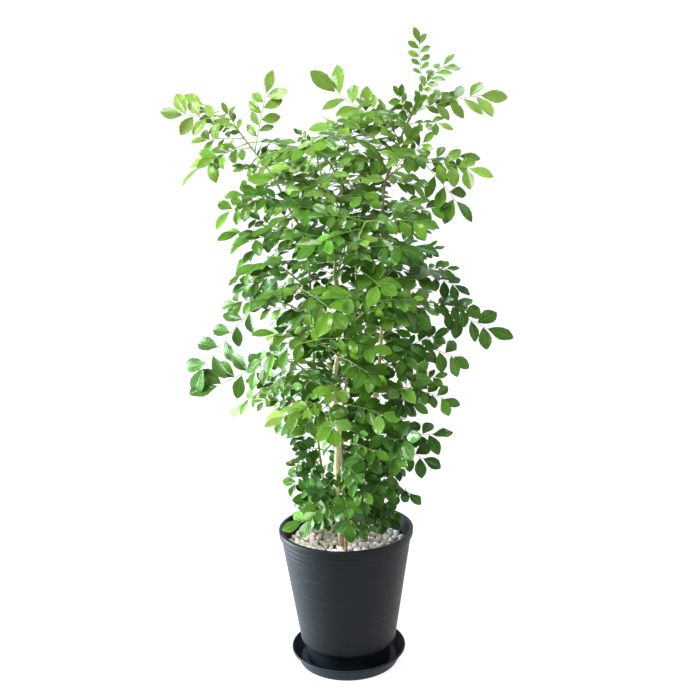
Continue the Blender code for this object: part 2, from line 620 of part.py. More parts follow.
def make_saucer(collection, material):
    wall = SAUCER_WALL
    return turned("saucer", [
        (0.0, SAUCER_FLOOR), (SAUCER_BASE_RADIUS - wall, SAUCER_FLOOR),
        (SAUCER_RIM_RADIUS - wall - 0.002, SAUCER_HEIGHT - 0.0035), (SAUCER_RIM_RADIUS - wall, SAUCER_HEIGHT),
        (SAUCER_RIM_RADIUS, SAUCER_HEIGHT), (SAUCER_RIM_RADIUS, SAUCER_HEIGHT - 0.003),
        (SAUCER_RIM_RADIUS - 0.002, SAUCER_HEIGHT - 0.0045), (SAUCER_BASE_RADIUS + 0.001, 0.0015),
        (SAUCER_BASE_RADIUS, 0.0), (0.0, 0.0)], collection, material)


def stem_feet(paths):
    feet = [paths[name][0] for name in STEMS]
    holes = [stem.foot_radius * 1.06 + GAP for stem in STEMS.values()]
    return [(foot.x, foot.y) for foot in feet], holes


def make_soil(paths, collection, cutters, material):
    bottom = POT_BASE_HEIGHT + POT_WALL + GAP
    low = inner_wall(bottom) * math.cos(math.pi / TURNED_SIDES) - GAP
    high = inner_wall(SOIL_TOP) * math.cos(math.pi / TURNED_SIDES) - GAP
    soil = turned("soil", [(0.0, SOIL_TOP), (high, SOIL_TOP), (low, bottom), (0.0, bottom)],
                  collection, material, 24)
    centres, holes = stem_feet(paths)
    drill(soil, centres, holes, SOIL_TOP - STEM_DEPTH - GAP, SOIL_TOP + 0.02, cutters)
    return soil


def make_gravel(paths, collection, cutters, material):
    """A layer whose top rises to a rounded stone at every third point of a ring lattice."""
    random = np.random.default_rng(SEED)
    bottom = SOIL_TOP + GAP
    outer = inner_wall(bottom) * math.cos(math.pi / (6 * PEBBLE_RINGS)) - GAP
    shape = bmesh.new()
    rings = [[shape.verts.new((0, 0, GRAVEL_TOP + PEBBLE_RISE / 2))]]
    for ring in range(1, PEBBLE_RINGS + 1):
        circle = []
        for step in range(6 * ring):
            sector, place = divmod(step, ring)
            turn = 2 * math.pi * step / (6 * ring)
            edge = ring == PEBBLE_RINGS
            peak = (ring - 2 * place + 2 * sector) % 3 == 0
            radius = outer * ring / PEBBLE_RINGS + (0 if edge else random.uniform(-0.0014, 0.0014))
            turn += 0 if edge else random.uniform(-0.0014, 0.0014) / radius
            rise = PEBBLE_RISE * (random.uniform(0.7, 1.1) if peak and not edge else random.uniform(0, 0.25))
            place_at = (radius * math.cos(turn), radius * math.sin(turn), GRAVEL_TOP + rise)
            circle.append(shape.verts.new(place_at))
        rings.append(circle)
    for ring in range(1, PEBBLE_RINGS + 1):
        inner, circle = rings[ring - 1], rings[ring]
        for sector in range(6):
            for place in range(ring):
                here = sector * ring + place
                behind = (sector * (ring - 1) + place) % len(inner)
                shape.faces.new((circle[here], circle[(here + 1) % len(circle)], inner[behind]))
                if place < ring - 1:
                    shape.faces.new((circle[(here + 1) % len(circle)], inner[(behind + 1) % len(inner)],
                                     inner[behind]))
    skirt = bmesh.ops.extrude_edge_only(shape, edges=[edge for edge in shape.edges if edge.is_boundary])
    lower = [item for item in skirt["geom"] if isinstance(item, bmesh.types.BMVert)]
    for vert in lower:
        vert.co.z = bottom
    bmesh.ops.contextual_create(shape, geom=[edge for edge in shape.edges if edge.is_boundary])
    bmesh.ops.recalc_face_normals(shape, faces=shape.faces)
    mesh = bpy.data.meshes.new("gravel")
    shape.to_mesh(mesh)
    shape.free()
    gravel = add_object("gravel", mesh, collection, material)
    centres, holes = stem_feet(paths)
    drill(gravel, centres, holes, bottom - 0.01, GRAVEL_TOP + 0.02, cutters)
    return gravel


def make_plant(paths, collection, bark, green):
    """Each stem with its shoots and leaves, grown together as one piece."""
    branches, grown = {}, {}
    for name, stem in STEMS.items():
        branches[name] = tube(name, paths[name], stem.foot_radius, stem.tip_radius, stem.sides,
                              collection, bark)
        grown[name] = bpy.data.collections.new(name + " parts")
        bpy.context.scene.collection.children.link(grown[name])
    for name, shoot in SHOOTS.items():
        branches[name] = tube(name, paths[name], SHOOT_FOOT_RADIUS, SHOOT_TIP_RADIUS, SHOOT_SIDES,
                              grown[shoot.parent], green)
    for number, leaf in enumerate(arrange_leaves(paths, branches)):
        leaf_object(leaf, number, grown[node_of(leaf.branch)], green)
    for name in STEMS:
        join_parts(branches[name], grown[name])


def main():
    clear_scene()
    plant = bpy.data.collections.new("potted_orange_jasmine")
    cutters = bpy.data.collections.new("cutters")
    for collection in (plant, cutters):
        bpy.context.scene.collection.children.link(collection)
    paths = branch_paths()
    pot_plastic = make_material("black_plastic", (0.028, 0.032, 0.040), 0.45)
    make_pot(plant, cutters, pot_plastic)
    make_saucer(plant, make_material("saucer_plastic", (0.020, 0.022, 0.026), 0.5))
    make_soil(paths, plant, cutters, make_material("soil", (0.035, 0.022, 0.014), 0.95))
    make_gravel(paths, plant, cutters, make_material("gravel", (0.68, 0.60, 0.53), 0.9))
    make_plant(paths, plant, make_material("bark", (0.42, 0.31, 0.19), 0.85),
               make_material("leaf", (0.07, 0.20, 0.03), 0.4))
    for item in plant.objects:
        if item.name in ("pot", "saucer", "soil"):
            item.data.shade_smooth()
    print({item.name: len(item.data.polygons) for item in plant.objects})


main()
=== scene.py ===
# %% [markdown]
# # Potted orange jasmine
# A young orange jasmine stands about 1.1 m tall: five thin stems with glossy pinnate leaves, in a black
# ridged nursery pot on its saucer, with crushed pale stone over the soil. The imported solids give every
# size and place. This lesson dresses them: the pot and saucer get their moulded rings, the gravel its
# stones, the stems their bark, and every leaf its leaflets with veins.

# %% Load the frame
import json
import math
from collections import namedtuple

import bmesh
import bpy
import numpy as np
from mathutils import Matrix, Vector
from mathutils.bvhtree import BVHTree
from mathutils.geometry import delaunay_2d_cdt

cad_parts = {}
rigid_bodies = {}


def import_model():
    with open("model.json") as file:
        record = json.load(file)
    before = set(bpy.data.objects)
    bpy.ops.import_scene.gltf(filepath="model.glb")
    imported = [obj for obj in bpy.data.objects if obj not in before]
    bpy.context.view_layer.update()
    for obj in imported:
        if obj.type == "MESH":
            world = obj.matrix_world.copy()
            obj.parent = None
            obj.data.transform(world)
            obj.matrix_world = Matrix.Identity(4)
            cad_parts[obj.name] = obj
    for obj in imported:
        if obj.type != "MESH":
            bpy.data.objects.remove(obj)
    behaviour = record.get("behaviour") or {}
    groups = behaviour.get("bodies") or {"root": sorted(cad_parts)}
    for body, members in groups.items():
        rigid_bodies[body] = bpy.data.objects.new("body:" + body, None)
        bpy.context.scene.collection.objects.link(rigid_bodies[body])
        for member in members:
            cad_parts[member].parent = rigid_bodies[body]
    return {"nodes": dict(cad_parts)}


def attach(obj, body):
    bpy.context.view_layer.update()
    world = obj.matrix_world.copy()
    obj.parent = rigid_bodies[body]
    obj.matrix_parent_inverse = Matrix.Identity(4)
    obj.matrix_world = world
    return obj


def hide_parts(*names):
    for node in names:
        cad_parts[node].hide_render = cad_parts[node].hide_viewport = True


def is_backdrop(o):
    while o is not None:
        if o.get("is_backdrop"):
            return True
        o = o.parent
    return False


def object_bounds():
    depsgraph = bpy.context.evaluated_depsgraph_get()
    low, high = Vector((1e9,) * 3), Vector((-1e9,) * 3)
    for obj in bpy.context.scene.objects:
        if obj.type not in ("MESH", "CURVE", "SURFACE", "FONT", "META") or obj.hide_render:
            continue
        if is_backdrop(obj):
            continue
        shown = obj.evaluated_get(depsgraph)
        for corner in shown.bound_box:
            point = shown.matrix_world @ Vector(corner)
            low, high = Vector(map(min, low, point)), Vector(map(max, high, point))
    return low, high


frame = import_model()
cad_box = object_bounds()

print("solids:", sorted(frame["nodes"]))

# %% [markdown]
# The photograph was taken from about 1.6 m away, a little below the plant's top, with the camera tipped
# down and turned slightly on its axis. A camera made with the same place, angles and focal length puts
# every piece over its image, so the two can be compared directly. The turn about the camera's own axis
# comes first, then the tip down. The Standard view shows the hex colours below as a colour picker does,
# where the default view would soften them.

# %% Camera at the photograph's angle
IMAGE_SIDE = 700
FOCAL_PIXELS = 942
SENSOR_WIDTH = 36.0
EYE = Vector((0.014, -1.60, 0.87))
TIP_DOWN = math.radians(10.6)
CAMERA_ROLL = math.radians(1.25)


def put(name, data):
    """An object with this data, linked to the scene."""
    thing = bpy.data.objects.new(name, data)
    bpy.context.scene.collection.objects.link(thing)
    return thing


camera_data = bpy.data.cameras.new("Camera")
camera_data.sensor_width = SENSOR_WIDTH
camera_data.lens = FOCAL_PIXELS / IMAGE_SIDE * SENSOR_WIDTH
camera = put("Camera", camera_data)
camera.matrix_world = (Matrix.Translation(EYE) @ Matrix.Rotation(math.pi / 2 - TIP_DOWN, 4, "X")
                       @ Matrix.Rotation(-CAMERA_ROLL, 4, "Z"))
bpy.context.scene.camera = camera
bpy.context.scene.view_settings.view_transform = "Standard"
print(f"lens {camera_data.lens:.1f} mm")

# %% [markdown]
# Almost every piece here is a row of closed rings of points: a turned pot, a stem, a leaflet, even a
# stone. So one pattern of faces serves them all: quads between neighbouring rings, and a fan of
# triangles to a single point at each end, which closes the shape with no sliver. Thousands of equal
# shapes, such as the leaflets, are one array, and share the pattern with an offset. Numbers that a
# material needs, such as a leaf's age, ride along as attributes on the points.

# %% From rings of points to a mesh
def ring_faces(rings, columns):
    """Quads between neighbouring rings. The last column joins the first."""
    ring, column = np.meshgrid(np.arange(rings - 1), np.arange(columns), indexing="ij")
    beside = (column + 1) % columns
    corners = [ring * columns + column, ring * columns + beside, (ring + 1) * columns + beside,
               (ring + 1) * columns + column]
    return np.stack(corners, axis=-1).reshape(-1, 4)


def end_faces(rings, columns):
    """Triangles from the first and last ring to the two end points, which come after all the rings."""
    here = np.arange(columns)
    beside = (here + 1) % columns
    last, end = (rings - 1) * columns, rings * columns
    start_fan = np.stack([beside, here, end + 0 * here], axis=-1)
    stop_fan = np.stack([last + here, last + beside, end + 1 + 0 * here], axis=-1)
    return np.vstack([start_fan, stop_fan])


def closed_faces(rings, columns):
    """All the faces of a closed stack of rings, as the quads and the two fans."""
    return [ring_faces(rings, columns), end_faces(rings, columns)]


def repeated(faces, count, points):
    """The same faces for each of many equal shapes that have this many points each."""
    return (faces[None] + points * np.arange(count)[:, None, None]).reshape(-1, faces.shape[1])


def make_piece(name, points, faces, materials, smooth=True, values=None, uv=None, sharp=None):
    """An object at the origin. Faces are lists of arrays, values and uv are per point, and an edge
    between two sharp points keeps its crease."""
    corner_lists = []
    for part in faces:
        corner_lists += part.tolist()
    mesh = bpy.data.meshes.new(name)
    mesh.from_pydata(np.asarray(points).reshape(-1, 3).tolist(), [], corner_lists)
    for key, numbers in (values or {}).items():
        layer = mesh.attributes.new(key, "FLOAT", "POINT")
        layer.data.foreach_set("value", np.asarray(numbers, np.float32).ravel())
    if uv is not None:
        index = np.empty(len(mesh.loops), np.int32)
        mesh.loops.foreach_get("vertex_index", index)
        mesh.uv_layers.new(name="UVMap").uv.foreach_set("vector", uv[index].ravel())
    if sharp is not None:
        ends = np.empty(2 * len(mesh.edges), np.int32)
        mesh.edges.foreach_get("vertices", ends)
        crease = mesh.attributes.new("sharp_edge", "BOOLEAN", "EDGE")
        crease.data.foreach_set("value", sharp[ends].reshape(-1, 2).all(axis=1))
    for material in materials:
        mesh.materials.append(material)
    if smooth:
        mesh.polygons.foreach_set("use_smooth", np.ones(len(mesh.polygons), bool))
    return put(name, mesh)


def dress(piece, slot, *nodes):
    """Sets the piece on the frame's root body and hides the solids that it stands for. The slot is not used.
    """
    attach(piece, "root")
    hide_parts(*nodes)
    print(f"{piece.name}: {len(piece.data.polygons)} faces, stands for {', '.join(nodes)}")


# %% [markdown]
# Materials are built from nodes. Colours are written as the sRGB hex values that a colour picker shows,
# and Blender computes in linear light, so one function turns the first into the second. One small
# function adds any node with its settings and links, which keeps each material short enough to read.
# Every material here starts from the place on the object, so that comes with its shader.

# %% Colours and nodes
def linear(code):
    """An sRGB hex colour as linear red, green, blue and 1: each channel is unbent by the sRGB curve."""
    channel = np.array([int(code[place:place + 2], 16) / 255 for place in (1, 3, 5)])
    flat = np.where(channel <= 0.04045, channel / 12.92, ((channel + 0.055) / 1.055) ** 2.4)
    return (*flat.tolist(), 1.0)


def feed(node, links):
    """Links a node's inputs to sockets, or to other nodes, whose first output in use then counts."""
    for key, source in links.items():
        if isinstance(source, bpy.types.Node):
            source = next(socket for socket in source.outputs if socket.enabled)
        node.id_data.links.new(source, node.inputs[key])


def add(tree, kind, settings=None, links=None):
    """A new node. Settings name an input, an input's number, or one of the node's own properties.

    A colour is a hex code, and a ramp takes its steps as (place, colour) pairs.
    """
    node = tree.nodes.new("ShaderNode" + kind)
    for key, value in (settings or {}).items():
        if isinstance(value, str) and value.startswith("#"):
            value = linear(value)
        if key == "steps":
            for place, _ in value[1:-1]:
                node.color_ramp.elements.new(place)
            for element, (place, code) in zip(node.color_ramp.elements, value):
                element.position = place
                element.color = linear(code)
        elif isinstance(key, int) or key in node.inputs:
            node.inputs[key].default_value = value
        else:
            setattr(node, key, value)
    feed(node, links or {})
    return node


def start_material(name, settings):
    """A material with its node tree, its shader with plain numbers and colours set, and the place."""
    material = bpy.data.materials.new(name)
    material.use_nodes = True
    shader = material.node_tree.nodes["Principled BSDF"]
    for key, value in settings.items():
        shader.inputs[key].default_value = linear(value) if isinstance(value, str) else value
    place = add(material.node_tree, "TexCoord").outputs["Object"]
    return material, material.node_tree, shader, place


# %% [markdown]
# The pot and the saucer are injection-moulded polypropylene, coloured black right through. It is a soft
# plastic with a waxy, half-matt skin, so its gloss is broad and grey. Handling leaves dull streaks that
# run round it. From the floor up, a paler grey is painted on the pot's foot and the saucer's floor. On the
# pot it is partly dust and on the saucer partly a dried film from water, and on both it is partly painted
# fill light that lightens these shaded recesses. The streaks come from noise squeezed in height, and the
# skin's fine grain, 0.4 mm across on the real pot, is drawn at 1 mm so that it shows.

# %% Black polypropylene
GRAIN = 1 / 0.001
STREAKS = (9, 9, 420)
DUST_AND_PAINTED_LIGHT_CLOUDS = 18.0
STREAK_RELIEF = 1.8
SKIN_RELIEF = 0.0002


def polypropylene(name, gloss, rough_range, dark, pale, scuffed, dust_and_painted_light_height, dust_and_painted_light_share, dust_and_painted_light):
    """Streaks from dark over pale to scuffed, and a paler grey near the floor: grime and painted fill light.
    """
    material, tree, shader, place = start_material(name, {"IOR": 1.49, "Specular IOR Level": gloss})
    squeezed = add(tree, "Mapping", {"Scale": STREAKS}, {"Vector": place})
    streaks = add(tree, "TexNoise", {"Scale": 1.0, "Detail": 4.0, "Roughness": 0.6}, {"Vector": squeezed})
    clouds = add(tree, "TexNoise", {"Scale": DUST_AND_PAINTED_LIGHT_CLOUDS, "Detail": 4.0}, {"Vector": place})
    grain = add(tree, "TexNoise", {"Scale": GRAIN, "Detail": 2.0}, {"Vector": place})
    colour = add(tree, "ValToRGB", {"steps": [(0.32, dark), (0.62, pale), (0.78, scuffed)]},
                 {"Fac": streaks})
    height = add(tree, "SeparateXYZ", {}, {"Vector": place}).outputs["Z"]
    # Painted fill light: the paler grey up from the floor lightens the shaded foot and saucer floor, and
    # stands for grime there too.
    low = add(tree, "MapRange", {"From Min": dust_and_painted_light_height, "From Max": 0.0, "To Max": dust_and_painted_light_share},
              {"Value": height})
    dust_and_painted_light_mask = add(tree, "Math", {"operation": "MULTIPLY", "use_clamp": True}, {0: low, 1: clouds})
    mixed = add(tree, "Mix", {"data_type": "RGBA", 7: dust_and_painted_light}, {0: dust_and_painted_light_mask, 6: colour})
    rough = add(tree, "MapRange", {"To Min": rough_range[0], "To Max": rough_range[1]}, {"Value": streaks})
    relief = add(tree, "Math", {"operation": "MULTIPLY_ADD", 1: STREAK_RELIEF}, {0: streaks, 2: grain})
    skin = add(tree, "Bump", {"Strength": 1.0, "Distance": SKIN_RELIEF}, {"Height": relief})
    feed(shader, {"Base Color": mixed, "Roughness": rough, "Normal": skin})
    return material


# The last three numbers give the paler grey's height, share and colour: grime and painted fill light on the
# foot and floor.
pot_plastic = polypropylene("Moulded black polypropylene, pot", 0.215, (0.34, 0.58),
                            "#02070a", "#060f14", "#2a3841", 0.048, 1.0, "#242a2e")
saucer_plastic = polypropylene("Moulded black polypropylene, saucer", 0.16, (0.45, 0.62),
                               "#10181e", "#1f2a32", "#3a464e", 0.0055, 3.0, "#2a3238")

# %% [markdown]
# A turned piece is a profile carried once round the upright axis. The profile here starts and ends on
# the axis, so the surface closes by itself. It runs from the underside outwards and up, and comes back
# down the inside, which makes every face point out of the plastic.

# %% Turning a profile
TURNED_SIDES = 128


def turned_surface(profile):
    """Points and faces of a profile of (radius, height) carried round Z, with both ends on the axis.

    A point at a turn is (radius cos turn, radius sin turn, height).
    """
    profile = np.asarray(profile, float)
    turn = 2 * np.pi * np.arange(TURNED_SIDES) / TURNED_SIDES
    radius, height = profile[1:-1, :1], profile[1:-1, 1:]
    rings = np.stack([radius * np.cos(turn), radius * np.sin(turn), height + 0 * turn], axis=-1)
    ends = [(0, 0, profile[0, 1]), (0, 0, profile[-1, 1])]
    return np.vstack([rings.reshape(-1, 3), ends]), closed_faces(len(rings), TURNED_SIDES)


def arc(centre, radius, start, stop, steps):
    """Profile points on a round edge, between two angles in degrees."""
    angle = np.radians(np.linspace(start, stop, steps))
    return np.stack([centre[0] + radius * np.cos(angle), centre[1] + radius * np.sin(angle)], axis=-1)


# %% [markdown]
# The pot is one thin wall with a rolled lip. The mould leaves rings round the outside: soft steps about
# 7 mm apart under the lip, which soon fade further down. Drawing them as a pattern in the material would
# leave a smooth outline, so they are in the profile itself, and only the finer lines between them are in
# the plastic's bump. The profile is written from the floor inside, up the inner wall, over the lip, down
# the outside and in under the foot, and is turned in the opposite order. The drain holes are then cut
# through the floor.

# %% The pot
RIM_RADIUS = 0.120
RIM_HEIGHT = 0.250
LIP_DEPTH = 0.012
LIP_ROUND = 0.0014
MOUTH_RADIUS = 0.1130
BODY_TOP_RADIUS = 0.1162
POT_BASE_RADIUS = 0.085
POT_BASE_HEIGHT = 0.040
POT_WALL = 0.0028
FOOT_RADIUS = 0.0765
FOOT_WALL = 0.004
FOOT_BOTTOM = 0.0033
RING_STEP = 0.0072
RING_RELIEF = 0.0006
DRAIN_HOLES = 5
DRAIN_RADIUS = 0.006
DRAIN_CIRCLE = 0.052
FLOOR_ROUND = 0.003
MOUTH_ROUND = 0.0018
UNDER_LIP_ROUND = 0.0014
BASE_ROUND = 0.0022
FOOT_ROUND = 0.0008
WALL_STEP = 0.0011
HOLE_SIDES = 24
HOLE_DEPTH = 0.02


def ringed_wall(bottom, top, bottom_radius, top_radius):
    """The outer wall as (radius, height), top down: a straight slope with rounded rings.

    A ring is the squared sine of height over the ring step, with the phase swayed by a slow sine so that
    no two are alike. Its relief grows with the eighth power of the share of the height, from a tenth.
    """
    height = np.arange(top, bottom, -WALL_STEP)
    share = (height - bottom) / (top - bottom)
    rings = np.sin(np.pi * height / RING_STEP + 1.3 * np.sin(height * 97)) ** 2
    radius = bottom_radius + (top_radius - bottom_radius) * share
    return np.stack([radius - rings * RING_RELIEF * (0.10 + 0.90 * share ** 8), height], axis=-1)


def settled_mesh(thing):
    """The mesh that an object shows once its modifiers are applied, or its curve is given its round."""
    bpy.context.view_layer.update()
    return bpy.data.meshes.new_from_object(thing.evaluated_get(bpy.context.evaluated_depsgraph_get()))


floor_inside = POT_BASE_HEIGHT + POT_WALL
inner_base = POT_BASE_RADIUS - POT_WALL
under_lip = RIM_HEIGHT - LIP_DEPTH
pot_profile = np.vstack([
    [(0.0, floor_inside), (inner_base - FLOOR_ROUND, floor_inside)],
    arc((inner_base - FLOOR_ROUND, floor_inside + FLOOR_ROUND), FLOOR_ROUND, -80, -8, 5),
    [(MOUTH_RADIUS - 0.0004, RIM_HEIGHT - 0.0035)],
    arc((MOUTH_RADIUS + MOUTH_ROUND, RIM_HEIGHT - MOUTH_ROUND), MOUTH_ROUND, 180, 90, 6),
    arc((RIM_RADIUS - LIP_ROUND, RIM_HEIGHT - LIP_ROUND), LIP_ROUND, 90, 0, 7),
    [(RIM_RADIUS - 0.0003, RIM_HEIGHT - 0.006)],
    arc((RIM_RADIUS - 0.0019, under_lip + UNDER_LIP_ROUND), UNDER_LIP_ROUND, 0, -90, 5),
    [(BODY_TOP_RADIUS + 0.0003, under_lip), (BODY_TOP_RADIUS, under_lip - 0.0006)],
    ringed_wall(POT_BASE_HEIGHT + 0.0035, under_lip - 0.0016, POT_BASE_RADIUS + 0.001, BODY_TOP_RADIUS),
    arc((POT_BASE_RADIUS - 0.002, POT_BASE_HEIGHT + BASE_ROUND), BASE_ROUND, 0, -90, 5),
    [(FOOT_RADIUS + 0.0012, POT_BASE_HEIGHT - 0.0002), (FOOT_RADIUS, POT_BASE_HEIGHT - 0.0012)],
    arc((FOOT_RADIUS - 0.0018, FOOT_BOTTOM + FOOT_ROUND), FOOT_ROUND, 0, -90, 4),
    [(FOOT_RADIUS - FOOT_WALL, FOOT_BOTTOM), (FOOT_RADIUS - FOOT_WALL, POT_BASE_HEIGHT),
     (0.0, POT_BASE_HEIGHT)]])
pot = make_piece("pot_shell", *turned_surface(pot_profile[::-1]), [pot_plastic])

holes = bmesh.new()
for hole_turn in 2 * np.pi * (np.arange(DRAIN_HOLES) + 0.5) / DRAIN_HOLES:
    across, deep = math.cos(hole_turn) * DRAIN_CIRCLE, math.sin(hole_turn) * DRAIN_CIRCLE
    bmesh.ops.create_cone(holes, cap_ends=True, segments=HOLE_SIDES, radius1=DRAIN_RADIUS,
                          radius2=DRAIN_RADIUS, depth=HOLE_DEPTH,
                          matrix=Matrix.Translation((across, deep, floor_inside)))
hole_mesh = bpy.data.meshes.new("drain_holes")
holes.to_mesh(hole_mesh)
holes.free()
hole_cutter = put("drain_holes", hole_mesh)
cut = pot.modifiers.new("Drain holes", "BOOLEAN")
cut.object = hole_cutter
drilled = settled_mesh(pot)
pot.modifiers.clear()
pot.data = drilled
bpy.data.objects.remove(hole_cutter, do_unlink=True)
dress(pot, "black_plastic", "pot")

# %% [markdown]
# The saucer is a shallow dish from the same plastic. A thin lip turns outwards at its edge, low rings on
# its floor keep the pot's foot out of the water, and faint rings run round its flared side.

# %% The saucer
SAUCER_RIM_RADIUS = 0.1035
SAUCER_HEIGHT = 0.025
SAUCER_BASE_RADIUS = 0.090
SAUCER_FLOOR = 0.003
SAUCER_WALL = 0.0022
SAUCER_RING_STEP = 0.006
SAUCER_RING_RELIEF = 0.0004
SIDE_RING_SHARE = 0.6
SAUCER_ROUND = 0.002

inner_radius = SAUCER_BASE_RADIUS - SAUCER_WALL - SAUCER_ROUND
floor_radius = np.linspace(0.002, inner_radius, 90)
floor_rings = np.abs(np.sin(np.pi * floor_radius / SAUCER_RING_STEP)) * SAUCER_RING_RELIEF
side_height = np.linspace(SAUCER_HEIGHT - 0.004, 0.002, 40)
side_flare = SAUCER_RIM_RADIUS - 0.0015 - SAUCER_BASE_RADIUS
side_rings = np.abs(np.sin(np.pi * side_height / SAUCER_RING_STEP)) * SAUCER_RING_RELIEF * SIDE_RING_SHARE
side_radius = SAUCER_BASE_RADIUS + side_flare * side_height / SAUCER_HEIGHT - side_rings
saucer_profile = np.vstack([
    [(0.0, SAUCER_FLOOR)],
    np.stack([floor_radius, SAUCER_FLOOR - floor_rings], axis=-1),
    arc((inner_radius, SAUCER_FLOOR + SAUCER_ROUND), SAUCER_ROUND, -80, -30, 4),
    [(SAUCER_RIM_RADIUS - SAUCER_WALL - 0.0024, SAUCER_HEIGHT - 0.005)],
    arc((SAUCER_RIM_RADIUS - 0.0016, SAUCER_HEIGHT - 0.0014), 0.0014, 150, 0, 8),
    arc((SAUCER_RIM_RADIUS - 0.0010, SAUCER_HEIGHT - 0.0028), 0.0008, 0, -90, 4),
    np.stack([side_radius, side_height], axis=-1),
    arc((SAUCER_BASE_RADIUS - 0.001, 0.0012), 0.0012, -20, -90, 4),
    [(0.0, 0.0)]])
saucer = make_piece("saucer_dish", *turned_surface(saucer_profile[::-1]), [saucer_plastic])
dress(saucer, "saucer_plastic", "saucer")

# %% [markdown]
# Potting mix is bark, peat and sand. The stones cover it, so its solid stays and only gets a material:
# dark brown clumps, about 3 mm across, with a rough, unglossy surface.

# %% Potting mix
CRUMB = 1 / 0.003
potting_mix, tree, shader, place = start_material("Potting mix", {"Roughness": 0.95, "IOR": 1.4})
crumbs = add(tree, "TexNoise", {"Scale": CRUMB, "Detail": 4.0, "Roughness": 0.7}, {"Vector": place})
earth = add(tree, "ValToRGB", {"steps": [(0.35, "#1a120c"), (0.55, "#3a291c"), (0.75, "#5a432e")]},
            {"Fac": crumbs})
clods = add(tree, "Bump", {"Distance": 0.001}, {"Height": crumbs})
feed(shader, {"Base Color": earth, "Normal": clods})
soil_mesh = frame["nodes"]["soil"].data
soil_mesh.materials.clear()
soil_mesh.materials.append(potting_mix)

# %% [markdown]
# The gravel is crushed limestone: cream and faintly pink pieces with broken flat faces. Its colour
# differs from stone to stone, with rusty stains and a sandy grain of about 1 mm. The stones of the
# lower layer are painted dark brown, as painted shade that shows in the gaps between the upper ones.

# %% Crushed limestone
SAND = 1 / 0.0009
STAINS = 1 / 0.006
limestone, tree, shader, place = start_material("Crushed limestone", {"Roughness": 0.82, "IOR": 1.56})
tint = add(tree, "Attribute", {"attribute_name": "tint"}).outputs["Fac"]
# The ramp's first step, dark brown, is painted shade: only the lower layer's stones take it.
whole = add(tree, "ValToRGB", {"steps": [(0.0, "#54402f"), (0.12, "#e8d6ca"), (0.4, "#faf2ea"),
                                         (0.8, "#fffcf8"), (1.0, "#ead6ca")]}, {"Fac": tint})
stains = add(tree, "TexNoise", {"Scale": STAINS, "Detail": 4.0, "Roughness": 0.6}, {"Vector": place})
stained = add(tree, "ValToRGB", {"steps": [(0.30, "#b79f8c"), (0.48, "#ffffff")]}, {"Fac": stains})
mixed = add(tree, "Mix", {"data_type": "RGBA", "blend_type": "MULTIPLY", 0: 0.30}, {6: whole, 7: stained})
sand = add(tree, "TexNoise", {"Scale": SAND, "Detail": 3.0, "Roughness": 0.7}, {"Vector": place})
grit = add(tree, "Bump", {"Distance": 0.0005}, {"Height": sand})
feed(shader, {"Base Color": mixed, "Normal": grit})

# %% [markdown]
# A crushed stone can be made by cutting a ball with a few random planes, and there is a formula for
# that: in any direction the surface lies at the nearest plane, whose distance in that direction is the
# plane's own distance over the cosine between them. All stones share one coarse ball, so one array
# holds them all. They lie in two layers on a sunflower's spiral, which spreads them evenly. A layer's row
# below holds its height, the stones' spacing, their sizes and their tints.

# %% Stones over the soil
SOIL_TOP = 0.2090
GRAVEL_TOP = 0.2170
GRAVEL_RADIUS = 0.1085
GOLDEN_ANGLE = math.radians(137.5)
BALL_RINGS = 5
BALL_SIDES = 8
STONE_PLANES = 9
# The lower layer's tints keep to the ramp's dark brown end: painted shade in the gaps between stones.
STONE_LAYERS = [
    (0.2125, 0.0100, (0.0050, 0.0064), (0.0, 0.05)),
    (0.2182, 0.0126, (0.0050, 0.0072), (0.15, 1.0))]
STONE_SHIFT = 0.0016
STONE_REACH = 1.15
PLANES_APART = (0.68, 0.95)
STRETCH = (0.75, 1.2)
FLATTENED = (1, 1, 0.8)
LEAST_COSINE = 0.05
LAYER_TURN = 900

stone_random = np.random.default_rng(5)
ball_rise = np.linspace(-1, 1, BALL_RINGS + 2)[1:-1, None] * math.pi / 2
ball_turn = 2 * np.pi * np.arange(BALL_SIDES) / BALL_SIDES
ball_rings = np.stack([np.cos(ball_rise) * np.cos(ball_turn), np.cos(ball_rise) * np.sin(ball_turn),
                       np.sin(ball_rise) + 0 * ball_turn], axis=-1)
ball = np.vstack([ball_rings.reshape(-1, 3), [(0, 0, -1), (0, 0, 1)]])


def crushed_stones(places, sizes):
    """A stone at each place: a ball's points pulled in to the nearest of the stone's random planes.

    The distance in a direction is the least of plane distance over cosine, and the stone's reach where
    no plane faces it. Each stone is stretched by three random factors, turned and then flattened.
    """
    count = len(places)
    planes = stone_random.normal(size=(count, STONE_PLANES, 3))
    planes /= np.linalg.norm(planes, axis=-1, keepdims=True)
    apart = stone_random.uniform(*PLANES_APART, (count, STONE_PLANES, 1))
    cosine = np.einsum("nkc,pc->nkp", planes, ball)
    distance = np.where(cosine > LEAST_COSINE, apart / np.maximum(cosine, LEAST_COSINE), STONE_REACH)
    reach = np.minimum(np.min(distance, axis=1), STONE_REACH)
    points = ball[None] * reach[..., None] * stone_random.uniform(*STRETCH, (count, 1, 3))
    turns = np.linalg.qr(stone_random.normal(size=(count, 3, 3)))[0]
    turns[np.linalg.det(turns) < 0, :, 0] *= -1
    points = np.einsum("nij,npj->npi", turns, points) * sizes[:, None, None]
    return points * FLATTENED + places[:, None]


